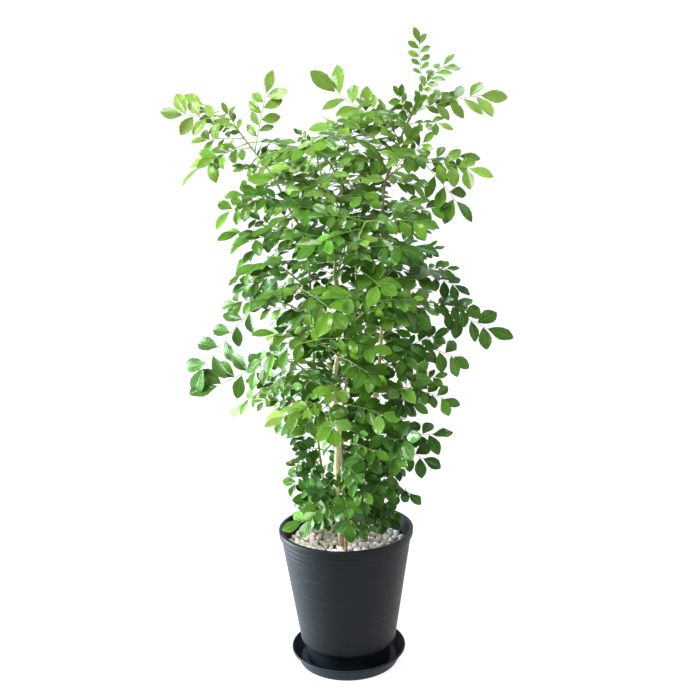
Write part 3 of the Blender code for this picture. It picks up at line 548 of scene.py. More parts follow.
stones, tints = [], []
for level, spacing, size_range, tint_range in STONE_LAYERS:
    count = int(math.pi * (GRAVEL_RADIUS / spacing) ** 2)
    number = np.arange(count) + 0.5
    sizes = stone_random.uniform(*size_range, count)
    radius = np.minimum(GRAVEL_RADIUS * np.sqrt(number / count), GRAVEL_RADIUS - sizes)
    turn = number * GOLDEN_ANGLE + level * LAYER_TURN
    shift = stone_random.uniform(-STONE_SHIFT, STONE_SHIFT, (count, 3))
    places = np.stack([radius * np.cos(turn), radius * np.sin(turn), level + 0 * turn], axis=-1) + shift
    stones.append(crushed_stones(places, sizes))
    tints.append(stone_random.uniform(*tint_range, (count, 1)) + np.zeros(len(ball)))
stones, tints = np.concatenate(stones), np.concatenate(tints)
ball_faces = closed_faces(BALL_RINGS, BALL_SIDES)
stone_faces = [repeated(faces, len(stones), len(ball)) for faces in ball_faces]
gravel = make_piece("crushed_stones", stones, stone_faces, [limestone], smooth=False, values={"tint": tints})
dress(gravel, "gravel", "gravel")
print(f"{len(stones)} stones")

# %% [markdown]
# The plant is placed the way the solids place it. The five stems and their shoots are points read from
# the photograph on the upright plane through the trunk, as (across, up), each with a depth of its own. A
# point seen there at a depth lies on the line from the camera through that place on the plane. The thick
# centre stem gets a second point between every two.

# %% Stems and shoots
Stem = namedtuple("Stem", "foot_radius tip_radius sides points")
Shoot = namedtuple("Shoot", "parent points")
Leaf = namedtuple("Leaf", "branch foot tip face leaflets arch")
STEM_DEPTH = 0.055
STEMS = {
    "leafy_stem_centre": Stem(0.0062, 0.0015, 8, [
        (-0.009, 0.250, -0.020), (-0.015, 0.315, -0.020), (-0.0115, 0.390, -0.020),
        (-0.0095, 0.425, -0.020), (-0.015, 0.510, -0.012), (-0.007, 0.565, -0.010),
        (-0.003, 0.650, 0.000), (-0.009, 0.705, 0.000), (0.006, 0.830, 0.004),
        (0.012, 0.880, 0.008), (0.022, 0.935, 0.010)]),
    "leafy_stem_left": Stem(0.0030, 0.0013, 6, [
        (-0.037, 0.280, 0.060), (-0.037, 0.325, 0.055), (-0.045, 0.396, 0.045),
        (-0.048, 0.480, 0.036), (-0.050, 0.600, 0.022), (-0.056, 0.750, 0.010),
        (-0.0835, 0.815, 0.000), (-0.1076, 0.867, -0.010), (-0.137, 0.908, -0.020),
        (-0.170, 0.953, -0.025)]),
    "leafy_stem_right": Stem(0.0040, 0.0013, 6, [
        (0.035, 0.260, 0.000), (0.042, 0.360, 0.006), (0.053, 0.460, 0.010),
        (0.066, 0.560, 0.010), (0.071, 0.650, 0.010), (0.072, 0.760, 0.006),
        (0.077, 0.845, 0.000), (0.094, 0.891, -0.006), (0.111, 0.939, -0.014),
        (0.126, 0.967, -0.020), (0.141, 1.013, -0.024)]),
    "leafy_stem_front": Stem(0.0026, 0.0013, 6, [
        (-0.001, 0.245, -0.046), (-0.004, 0.320, -0.040), (-0.0035, 0.425, -0.034),
        (0.004, 0.500, -0.044), (0.020, 0.590, -0.060), (0.027, 0.680, -0.068),
        (0.022, 0.770, -0.066), (-0.020, 0.850, -0.060)]),
    "leafy_stem_back": Stem(0.0034, 0.0013, 6, [
        (0.006, 0.275, 0.052), (0.010, 0.350, 0.060), (0.014, 0.450, 0.068),
        (0.010, 0.560, 0.078), (-0.004, 0.680, 0.084), (-0.014, 0.790, 0.080),
        (-0.030, 0.880, 0.070), (-0.045, 0.930, 0.060)]),
}
SHOOT_FOOT_RADIUS = 0.0017
SHOOT_TIP_RADIUS = 0.0012
SHOOT_SIDES = 4
SHOOT_POINTS = {
    "leafy_stem_left": {
        "left_low": [(-0.040, 0.360, 0.050), (-0.052, 0.372, 0.020), (-0.060, 0.380, 0.005)],
        "left_spray": [(-0.048, 0.460, 0.036), (-0.085, 0.500, 0.000), (-0.118, 0.515, -0.020)],
        "left_arm": [(-0.049, 0.520, 0.030), (-0.075, 0.545, 0.010), (-0.100, 0.556, -0.010)],
        "left_reach": [(-0.050, 0.620, 0.020), (-0.090, 0.652, 0.000), (-0.132, 0.662, -0.025)],
        "left_mid": [(-0.053, 0.670, 0.016), (-0.080, 0.700, 0.000), (-0.108, 0.722, -0.012)],
        "left_upper": [(-0.056, 0.745, 0.010), (-0.078, 0.768, 0.030), (-0.100, 0.782, 0.040)],
    },
    "leafy_stem_centre": {
        "centre_low": [(-0.012, 0.455, -0.018), (-0.026, 0.472, -0.045), (-0.034, 0.478, -0.070)],
        "centre_left": [(-0.005, 0.620, -0.004), (-0.050, 0.660, -0.045), (-0.070, 0.680, -0.075)],
        "centre_right": [(-0.008, 0.700, 0.000), (0.030, 0.740, 0.040), (0.050, 0.765, 0.065)],
        "centre_fore": [(0.000, 0.790, 0.003), (-0.012, 0.830, -0.030), (-0.022, 0.852, -0.055)],
        "centre_top": [(0.008, 0.850, 0.006), (-0.015, 0.890, 0.000), (-0.036, 0.915, -0.010)],
    },
    "leafy_stem_right": {
        "right_low": [(0.038, 0.300, 0.002), (0.055, 0.325, -0.020), (0.070, 0.335, -0.030)],
        "right_knee": [(0.043, 0.365, 0.006), (0.060, 0.395, -0.015), (0.075, 0.410, -0.025)],
        "right_arm": [(0.051, 0.440, 0.009), (0.085, 0.470, -0.010), (0.115, 0.500, -0.030)],
        "right_spray": [(0.062, 0.530, 0.010), (0.090, 0.560, -0.020), (0.120, 0.578, -0.040)],
        "right_reach": [(0.069, 0.600, 0.010), (0.110, 0.640, -0.010), (0.150, 0.650, -0.020)],
        "right_mid": [(0.071, 0.680, 0.009), (0.105, 0.728, 0.000), (0.128, 0.726, -0.005),
                     (0.143, 0.700, -0.010)],
        "right_upper": [(0.073, 0.770, 0.005), (0.092, 0.795, -0.020), (0.104, 0.805, -0.035)],
        "right_crown": [(0.082, 0.860, -0.002), (0.110, 0.880, -0.020), (0.140, 0.888, -0.030)],
    },
    "leafy_stem_front": {
        "front_left": [(0.010, 0.540, -0.050), (-0.022, 0.575, -0.095), (-0.045, 0.590, -0.135)],
        "front_right": [(0.023, 0.620, -0.063), (0.048, 0.645, -0.100), (0.062, 0.655, -0.140)],
        "front_top": [(0.024, 0.730, -0.067), (0.034, 0.765, -0.100), (0.045, 0.790, -0.135)],
    },
    "leafy_stem_back": {
        "back_left": [(0.012, 0.500, 0.072), (-0.030, 0.545, 0.110), (-0.055, 0.560, 0.150)],
        "back_right": [(0.005, 0.600, 0.080), (0.045, 0.645, 0.120), (0.070, 0.665, 0.155)],
        "back_high": [(-0.006, 0.700, 0.083), (0.010, 0.750, 0.125), (0.012, 0.775, 0.165)],
        "back_low": [(0.012, 0.400, 0.064), (0.030, 0.440, 0.100), (0.040, 0.455, 0.135)],
    },
}
SHOOTS = {name: Shoot(parent, points) for parent, shoots in SHOOT_POINTS.items()
          for name, points in shoots.items()}
RUN_DIVISIONS = 6


def seen_at(across, up, depth):
    """The point at this depth that is seen at (across, up) on the upright plane through the trunk."""
    on_plane = Vector((across, 0.0, up))
    return EYE + (on_plane - EYE) * ((depth - EYE.y) / -EYE.y)


def smooth_path(points, steps):
    """A curve through the points: each span is a cubic whose end slopes follow the neighbouring points."""
    ends = [2 * points[0] - points[1], *points, 2 * points[-1] - points[-2]]
    path = []
    for before, start, stop, after in zip(ends, ends[1:], ends[2:], ends[3:]):
        for step in range(steps):
            t = step / steps
            path.append(0.5 * ((2 * start) + (stop - before) * t
                               + (2 * before - 5 * start + 4 * stop - after) * t ** 2
                               + (3 * start - before - 3 * stop + after) * t ** 3))
    return [*path, points[-1]]


def finely_divided(path):
    """The same straight runs with more points on them, to start shoots and leaves from."""
    shares = [step / RUN_DIVISIONS for step in range(RUN_DIVISIONS)]
    runs = zip(path, path[1:])
    return [start.lerp(stop, share) for start, stop in runs for share in shares] + [path[-1]]


def nearest_index(path, point):
    """The number of the path's point that lies nearest to a point."""
    return min(range(len(path)), key=lambda i: (path[i] - point).length)


def node_of(branch):
    """The leafy stem that a branch belongs to, which is its own name for a stem."""
    return SHOOTS[branch].parent if branch in SHOOTS else branch


paths = {}
for name, stem in STEMS.items():
    above = [seen_at(*point) for point in stem.points]
    stem_foot = Vector((above[0].x, above[0].y, SOIL_TOP - STEM_DEPTH))
    paths[name] = [stem_foot, *smooth_path(above, 2 if stem.sides > 6 else 1)]
for name, shoot in SHOOTS.items():
    points = [seen_at(*point) for point in shoot.points]
    parent = finely_divided(paths[shoot.parent])
    points[0] = parent[nearest_index(parent, points[0])]
    paths[name] = points
lengths = {name: sum((b - a).length for a, b in zip(path, path[1:])) for name, path in paths.items()}
print(f"{len(STEMS)} stems and {len(SHOOTS)} shoots, {sum(lengths.values()):.2f} m in all")

# %% [markdown]
# A pinnate leaf is a midrib with leaflets on alternate sides and one at its end. The flat outline below
# is the one that the solids use. Here it serves to keep leaves apart: each new leaf is tried as a thin
# slab against everything that already stands, and moved until it crosses nothing. The draws come from
# the same seed in the same order, so the solids' leaves come out where they are.

# %% Outline of a leaf
BLADE = 0.0008
MIDRIB = 0.0013
MEAN_LENGTH = 0.115
FIRST_LEAFLET = 0.17
LEAFLET_WIDTH = 0.40
LEAFLET_ANGLE = math.radians(58)
FOLD = 0.16
LEAFLET_FOOT = 0.014
WELD = 0.00001
LEAFLET_LENGTHS = {5: (0.23, 0.31, 0.35), 7: (0.19, 0.25, 0.31), 9: (0.155, 0.205, 0.28)}


def leaf_outline(leaflets):
    """A flat leaf of unit length, as (along the midrib, aside): alternate leaflets and a larger last one."""
    shortest, longest, end_length = LEAFLET_LENGTHS[leaflets]
    last = 1 - end_length
    rib = MIDRIB / MEAN_LENGTH
    right, left = [], []
    side_leaflets = leaflets - 1
    reach = last - 0.06 - FIRST_LEAFLET
    spacing = 2 * reach / (side_leaflets - 1)
    cos, sin = math.cos(LEAFLET_ANGLE), math.sin(LEAFLET_ANGLE)
    for number in range(side_leaflets):
        share = number / (side_leaflets - 1)
        foot = FIRST_LEAFLET + reach * share
        size = shortest + (longest - shortest) * share
        half = min(LEAFLET_WIDTH * size, 0.44 * spacing * sin)
        corners = [
            (foot - LEAFLET_FOOT, rib),
            (foot + 0.45 * size * cos - half * sin, rib + 0.45 * size * sin + half * cos),
            (foot + size * cos, rib + size * sin),
            (foot + 0.55 * size * cos + half * sin, rib + 0.55 * size * sin - half * cos),
            (foot + LEAFLET_FOOT, rib)]
        (right if number % 2 else left).extend(corners)
    half = 0.33 * end_length
    middle = last + 0.5 * end_length
    end = [(last + 0.01, rib), (middle, half), (1.0, 0.0), (middle, -half), (last + 0.01, -rib)]
    mirrored = [(along, -aside) for along, aside in reversed(left)]
    return [(0.0, rib), *right, *end, *mirrored, (0.0, -rib)]


def flat_leaf(leaflets):
    """The outline's corners and the triangles that fill it."""
    outline = [Vector(corner) for corner in leaf_outline(leaflets)]
    edges = [(i, (i + 1) % len(outline)) for i in range(len(outline))]
    filled = delaunay_2d_cdt(outline, edges, [list(range(len(outline)))], 1, WELD)
    return np.array([tuple(corner) for corner in filled[0]]), filled[2]


FLAT_LEAVES = {leaflets: flat_leaf(leaflets) for leaflets in (5, 7, 9)}

# %% [markdown]
# In space the midrib is a parabola from foot to tip, raised in the middle, because the leaf's weight
# bends it. Two directions go with it at every point: aside, across the blade, and out, away from its
# upper face.

# %% A leaf's midrib in space
def midrib_at(leaf, along):
    """Points on the midrib and the slope, aside and out directions there.

    The point is a quadratic between foot, raised middle and tip. Aside is slope cross face and out is
    aside cross slope, both of unit length.
    """
    along = np.asarray(along, float)[:, None]
    length = (leaf.tip - leaf.foot).length
    foot, tip, face = np.array(leaf.foot), np.array(leaf.tip), np.array(leaf.face)
    middle = (foot + tip) / 2 + np.array([0, 0, 1.0]) * leaf.arch * length
    point = (1 - along) ** 2 * foot + 2 * along * (1 - along) * middle + along ** 2 * tip
    slope = 2 * (1 - along) * (middle - foot) + 2 * along * (tip - middle)
    side = np.cross(slope, face)
    side /= np.linalg.norm(side, axis=1)[:, None]
    out = np.cross(side, slope)
    out /= np.linalg.norm(out, axis=1)[:, None]
    return point, slope, side, out


def blade(leaf, start=0.0):
    """The flat outline bent over the midrib: it goes aside and falls away by the fold."""
    corners, triangles = FLAT_LEAVES[leaf.leaflets]
    point, _, side, out = midrib_at(leaf, np.maximum(corners[:, 0], start))
    aside = corners[:, 1][:, None] * (leaf.tip - leaf.foot).length
    return point + side * aside - out * np.abs(aside) * FOLD, out, triangles


def blade_tree(leaf, thickness, start=0.0):
    """The blade as a slab in a search tree, with its lowest and highest corners."""
    middle, out, triangles = blade(leaf, start)
    corners = np.vstack([middle + out * thickness / 2, middle - out * thickness / 2])
    count = len(middle)
    faces = [tuple(face) for face in triangles]
    faces += [(a + count, c + count, b + count) for a, b, c in triangles]
    rim = list(range(count))
    faces += [(i, j, j + count, i + count) for i, j in zip(rim, rim[1:] + rim[:1])]
    tree = BVHTree.FromPolygons([tuple(corner) for corner in corners], faces)
    return tree, corners.min(axis=0), corners.max(axis=0)


# %% [markdown]
# What already stands is the pot and every stem and shoot. They go into search trees in the form that the
# solids have, with few sides, because another form would turn away other leaves.

# %% What a leaf must stay clear of
POT_SIDES = 32
PEBBLE_RISE = 0.0045
STALK_SHARE = 0.13


def branch_mesh(path, foot_radius, tip_radius, sides):
    """A tapering round stem: a bevelled curve along the path, made a closed mesh."""
    curve = bpy.data.curves.new("guide", "CURVE")
    curve.dimensions = "3D"
    curve.bevel_depth = foot_radius
    curve.bevel_resolution = (sides - 4) // 2
    curve.use_fill_caps = True
    spline = curve.splines.new("POLY")
    spline.points.add(len(path) - 1)
    for index, point in enumerate(path):
        share = index / (len(path) - 1)
        spline.points[index].co = (*point, 1.0)
        spline.points[index].radius = 1 + (tip_radius / foot_radius - 1) * share
    guide = put("guide", curve)
    mesh = settled_mesh(guide)
    bpy.data.objects.remove(guide, do_unlink=True)
    bpy.data.curves.remove(curve)
    shape = bmesh.new()
    shape.from_mesh(mesh)
    bpy.data.meshes.remove(mesh)
    bmesh.ops.remove_doubles(shape, verts=shape.verts, dist=WELD)
    bmesh.ops.recalc_face_normals(shape, faces=shape.faces)
    corners = np.array([tuple(vertex.co) for vertex in shape.verts])
    faces = [tuple(vertex.index for vertex in face.verts) for face in shape.faces]
    shape.free()
    return corners, faces


def pot_taken():
    """The pot's rim and wall as an obstacle that no leaf may touch."""
    profile = np.array([
        (POT_BASE_RADIUS + 0.01, 0.0), (RIM_RADIUS + 0.001, RIM_HEIGHT + 0.001),
        (MOUTH_RADIUS - 0.001, RIM_HEIGHT + 0.001), (MOUTH_RADIUS - 0.004, GRAVEL_TOP),
        (0.0, GRAVEL_TOP + PEBBLE_RISE + 0.002)])
    turn = 2 * np.pi * np.arange(POT_SIDES) / POT_SIDES
    around = np.stack([np.cos(turn), np.sin(turn), np.zeros(POT_SIDES)], axis=-1)
    corners = (profile[:, None, :1] * around + profile[:, None, 1:] * (0, 0, 1)).reshape(-1, 3)
    tree = BVHTree.FromPolygons(corners.tolist(), ring_faces(len(profile), POT_SIDES).tolist())
    return "pot", tree, corners.min(axis=0), corners.max(axis=0)


CLEARANCE = 0.0011
taken = [pot_taken()]
for name, path in paths.items():
    stem = STEMS.get(name)
    form = (stem.foot_radius, stem.tip_radius, stem.sides) if stem else (
        SHOOT_FOOT_RADIUS, SHOOT_TIP_RADIUS, SHOOT_SIDES)
    corners, faces = branch_mesh(path, *form)
    low, high = corners.min(axis=0) - CLEARANCE, corners.max(axis=0) + CLEARANCE
    taken.append((node_of(name), BVHTree.FromPolygons(corners.tolist(), faces), low, high))
print(f"{len(taken)} obstacles")


def is_clear(leaf, clearance=CLEARANCE):
    """Whether a leaf crosses nothing. Near its foot it may touch its own stem's pieces."""
    whole, low, high = blade_tree(leaf, BLADE + 2 * clearance)
    outer = blade_tree(leaf, BLADE + 2 * clearance, STALK_SHARE)[0]
    for node, tree, other_low, other_high in taken:
        if np.all(low < other_high) and np.all(high > other_low):
            if (outer if node == node_of(leaf.branch) else whole).overlap(tree):
                return False
    return True


# %% [markdown]
# The outline of the plant is made by leaves whose feet and tips are read from the photograph. A row holds
# the branch, the foot as (across, up), the tip with its depth, the number of leaflets, and how far the
# face is turned to the front. Each leaf is moved a little, and more at each try, until it is clear.

# %% Leaves that make the outline
OUTER_LEAVES = [
    ("leafy_stem_left", (-0.134, 0.905), (-0.105, 1.040, -0.035), 7, 0.9),
    ("leafy_stem_left", (-0.170, 0.953), (-0.297, 0.972, -0.040), 5, 0.9),
    ("leafy_stem_left", (-0.155, 0.935), (-0.248, 0.922, -0.010), 5, 0.8),
    ("leafy_stem_left", (-0.150, 0.925), (-0.270, 0.857, -0.050), 5, 0.5),
    ("leafy_stem_left", (-0.117, 0.882), (-0.175, 0.878, -0.060), 5, 0.6),
    ("leafy_stem_left", (-0.096, 0.840), (-0.222, 0.792, -0.030), 7, 0.8),
    ("left_upper", (-0.100, 0.782), (-0.174, 0.806, 0.030), 5, 0.6),
    ("left_upper", (-0.092, 0.776), (-0.214, 0.764, 0.010), 5, 0.1),
    ("left_mid", (-0.108, 0.722), (-0.200, 0.690, -0.020), 5, 0.4),
    ("left_reach", (-0.132, 0.662), (-0.283, 0.487, -0.040), 9, 0.9),
    ("left_reach", (-0.115, 0.660), (-0.212, 0.650, 0.020), 5, 0.6),
    ("left_arm", (-0.100, 0.556), (-0.270, 0.480, -0.030), 7, 0.9),
    ("left_spray", (-0.118, 0.515), (-0.152, 0.460, -0.060), 5, 0.8),
    ("left_spray", (-0.112, 0.512), (-0.212, 0.452, 0.000), 5, 0.3),
    ("left_spray", (-0.080, 0.495), (-0.127, 0.418, -0.030), 5, 0.5),
    ("left_low", (-0.060, 0.380), (-0.102, 0.350, -0.045), 5, 0.6),
    ("left_low", (-0.055, 0.376), (-0.104, 0.300, -0.010), 5, 0.7),
    ("leafy_stem_left", (-0.037, 0.300), (-0.118, 0.240, 0.030), 5, 0.6),
    ("centre_low", (-0.034, 0.478), (-0.090, 0.410, -0.110), 5, 0.9),
    ("centre_low", (-0.030, 0.475), (0.000, 0.440, -0.110), 5, 0.9),
    ("centre_fore", (-0.022, 0.852), (-0.086, 0.832, -0.110), 5, 0.4),
    ("centre_top", (-0.036, 0.915), (-0.073, 0.942, -0.030), 5, 0.8),
    ("leafy_stem_centre", (0.022, 0.935), (-0.022, 0.957, 0.000), 5, 0.3),
    ("leafy_stem_centre", (0.020, 0.925), (0.050, 0.968, -0.040), 5, 0.8),
    ("leafy_stem_right", (0.104, 0.920), (-0.048, 1.018, -0.030), 7, 0.8),
    ("leafy_stem_right", (0.098, 0.900), (0.010, 0.975, -0.060), 5, 0.2),
    ("leafy_stem_right", (0.141, 1.013), (0.136, 1.100, -0.030), 9, 0.9),
    ("leafy_stem_right", (0.126, 0.967), (0.287, 0.993, -0.030), 7, 0.9),
    ("leafy_stem_right", (0.115, 0.948), (0.195, 0.944, -0.060), 5, 0.6),
    ("right_crown", (0.112, 0.880), (0.160, 0.935, -0.060), 5, 0.9),
    ("right_crown", (0.125, 0.885), (0.243, 0.892, -0.020), 5, 0.6),
    ("right_crown", (0.140, 0.888), (0.228, 0.775, -0.050), 5, 0.9),
    ("right_crown", (0.132, 0.886), (0.265, 0.858, -0.070), 5, 0.7),
    ("right_upper", (0.104, 0.805), (0.150, 0.783, -0.090), 5, 0.7),
    ("right_upper", (0.092, 0.795), (0.145, 0.748, -0.070), 5, 0.8),
    ("right_mid", (0.125, 0.728), (0.174, 0.745, -0.030), 5, 0.7),
    ("right_mid", (0.140, 0.705), (0.202, 0.705, -0.020), 5, 0.8),
    ("right_mid", (0.143, 0.700), (0.221, 0.662, -0.040), 5, 0.8),
    ("right_reach", (0.150, 0.650), (0.246, 0.622, -0.050), 5, 0.7),
    ("right_reach", (0.145, 0.649), (0.298, 0.572, -0.030), 7, 0.9),
    ("right_spray", (0.110, 0.573), (0.188, 0.590, -0.080), 5, 0.8),
    ("right_spray", (0.120, 0.578), (0.243, 0.524, -0.050), 5, 0.7),
    ("right_arm", (0.115, 0.500), (0.183, 0.528, -0.050), 5, 0.7),
    ("right_arm", (0.112, 0.497), (0.208, 0.463, -0.050), 5, 0.9),
    ("right_knee", (0.075, 0.410), (0.196, 0.412, -0.040), 5, 0.5),
    ("right_knee", (0.072, 0.408), (0.175, 0.347, -0.050), 5, 0.9),
    ("right_knee", (0.066, 0.402), (0.112, 0.360, -0.080), 5, 0.8),
    ("right_low", (0.070, 0.335), (0.114, 0.284, -0.050), 5, 0.7),
    ("right_low", (0.058, 0.328), (0.086, 0.254, -0.060), 5, 0.6),
    ("leafy_stem_front", (-0.004, 0.330), (0.012, 0.205, -0.088), 5, 0.8),
    ("leafy_stem_front", (-0.004, 0.360), (-0.052, 0.300, -0.090), 5, 0.7),
]
OUTER_TRIES = 60
OUTER_STEP = 0.0006
DEPTH_FREEDOM = 2.5
SPIN_STEP = 0.02
ARCH = 0.10
RISING_ARCH = 0.05
RISING = 0.03


def facing(direction, forward):
    """The way the blade faces: up, or turned to the front, and kept from pointing along the leaf."""
    face = Vector((0, -forward, 1 - 0.55 * forward))
    if abs(direction.normalized().dot(face.normalized())) > 0.9:
        face += Vector((0.5, -0.5, 0))
    return face.normalized()


def settle_outer(row, random, clearance=CLEARANCE):
    """An outer leaf at its place, or moved a little until it is clear of the rest."""
    branch, foot, tip, leaflets, forward = row
    path = finely_divided(paths[branch])
    foot_depth = min(paths[branch], key=lambda p: abs(p.z - foot[1])).y
    foot = path[nearest_index(path, seen_at(*foot, foot_depth))]
    for attempt in range(OUTER_TRIES):
        shift = Vector(random.uniform(-1, 1, 3)) * OUTER_STEP * attempt
        shift.y *= DEPTH_FREEDOM
        end = seen_at(*tip) + shift
        spin = random.uniform(-1, 1) * SPIN_STEP * attempt
        face = facing(end - foot, forward) + Vector((spin, 0, 0))
        arch = ARCH if end.z < foot.z + RISING else RISING_ARCH
        leaf = Leaf(branch, foot, end, face.normalized(), leaflets, arch)
        if is_clear(leaf, clearance):
            return leaf
    return None


# %% [markdown]
# The crown behind them is filled by a rule: leaves follow each other round a stem by the golden angle,
# face up and outwards, and stay inside the crown's radius. A leaf on a shoot goes to its left and right
# in turn. A stem's row below holds its number of leaves, the highest one's share of its length, and the
# leaves on each of its shoots.

# %% Leaves that fill the crown
FILL = {
    "leafy_stem_centre": (4, 0.95, 3), "leafy_stem_left": (2, 0.70, 0), "leafy_stem_right": (2, 0.70, 0),
    "leafy_stem_front": (4, 1.0, 3), "leafy_stem_back": (4, 1.0, 3)}
CROWN = [(0.22, 0.100), (0.36, 0.125), (0.46, 0.190), (0.60, 0.220), (0.80, 0.210), (0.92, 0.160),
         (1.00, 0.100)]
FILLER_TRIES = 14
FILLER_LENGTH = (0.120, 0.160)
FILLER_RISE = (-0.55, 0.25)
FILLER_FACING = (0.5, 1.6)
FILLER_SHRINK = 0.025
SHOOT_SPREAD = 0.9
TURN_SPREAD = 0.5
FACE_SPREAD = 0.3
TOO_STEEP = 0.85
OVER_GRAVEL = 0.03
LEVEL_HEIGHT = 0.55
CLIMB = 0.9
TO_LIGHT = Vector((-0.30, -0.85, 0.40))


def crown_radius(height):
    """How far from the upright axis a tip may lie at a height."""
    heights, radii = zip(*CROWN)
    return float(np.interp(height, heights, radii))


def settle_filler(branch, share, number, random, inside=None, clearance=CLEARANCE,
                  length_range=FILLER_LENGTH, facing_range=FILLER_FACING, lit_range=None):
    """A leaf placed by rule: turned by the golden angle, facing up and outwards, inside the crown.

    Where a lit range is given, the leaf also turns to the light by a share from it.
    """
    path = finely_divided(paths[branch])
    foot = path[round(share * (len(path) - 1))]
    run = path[-1] - path[0]
    lead = number * GOLDEN_ANGLE
    if branch in SHOOTS:
        lead = math.atan2(run.y, run.x) + SHOOT_SPREAD * (number % 2 * 2 - 1)
    for attempt in range(FILLER_TRIES):
        turn = lead + random.uniform(-TURN_SPREAD, TURN_SPREAD) * (1 + attempt / 3)
        rise = random.uniform(*FILLER_RISE) + CLIMB * (foot.z - LEVEL_HEIGHT)
        length = random.uniform(*length_range) * (1 - FILLER_SHRINK * attempt)
        heading = Vector((math.cos(turn), math.sin(turn), rise)).normalized()
        tip = foot + heading * length
        outward = Vector((tip.x, tip.y, 0))
        if outward.length > crown_radius(tip.z) or tip.z < GRAVEL_TOP + OVER_GRAVEL:
            continue
        if inside is not None and not inside(tip):
            continue
        tilt = outward.normalized() * random.uniform(*facing_range)
        if lit_range:
            tilt += TO_LIGHT * random.uniform(*lit_range)
        scatter = Vector(random.uniform(-FACE_SPREAD, FACE_SPREAD, 3))
        face = (Vector((0, 0, 1)) + tilt + scatter).normalized()
        if abs(face.dot(heading)) > TOO_STEEP:
            continue
        leaf = Leaf(branch, foot, tip, face, 5, ARCH)
        if is_clear(leaf, clearance):
            return leaf
    return None


# %% [markdown]
# The leaves are settled in the order in which the solids' own were, and each one stands in the way of
# those that come later. The number that turns a filler also counts the letters of its branch's name, so
# that two branches don't start alike.

# %% Settle the solids' leaves
SEED = 11
LOWEST_SHARE = 0.40
leaves = []


def keep(leaf):
    """Adds a leaf that found a place, and makes it an obstacle for the next ones."""
    if leaf is not None:
        leaves.append(leaf)
        taken.append((node_of(leaf.branch), *blade_tree(leaf, BLADE)))


random = np.random.default_rng(SEED)
for row in OUTER_LEAVES:
    keep(settle_outer(row, random))
outer_count = len(leaves)
for name in paths:
    on_stem, highest, on_shoot = FILL[node_of(name)]
    if name in STEMS:
        shares = np.linspace(LOWEST_SHARE, highest, on_stem)
    else:
        shares = np.linspace(1.0, 0.5, on_shoot)
    for number, share in enumerate(shares):
        keep(settle_filler(name, share, number + len(name), random))
solid_count = len(leaves)
print(f"the solids' leaves: {outer_count} outer, {solid_count - outer_count} filling the crown")

# %% [markdown]
# The real crown holds about four times as many leaves as the solids can. The rest is added here: some
# more that the photograph shows at the edge and low in front, and many inside, every centimetre or two
# along each stem and shoot, in three sweeps. None of those may reach past the foliage's edge as the
# camera sees it, which is given at a few heights, left and right. A few stretches of stem are bare to
# the eye in the photograph, and a strip from each towards the camera keeps it in view.

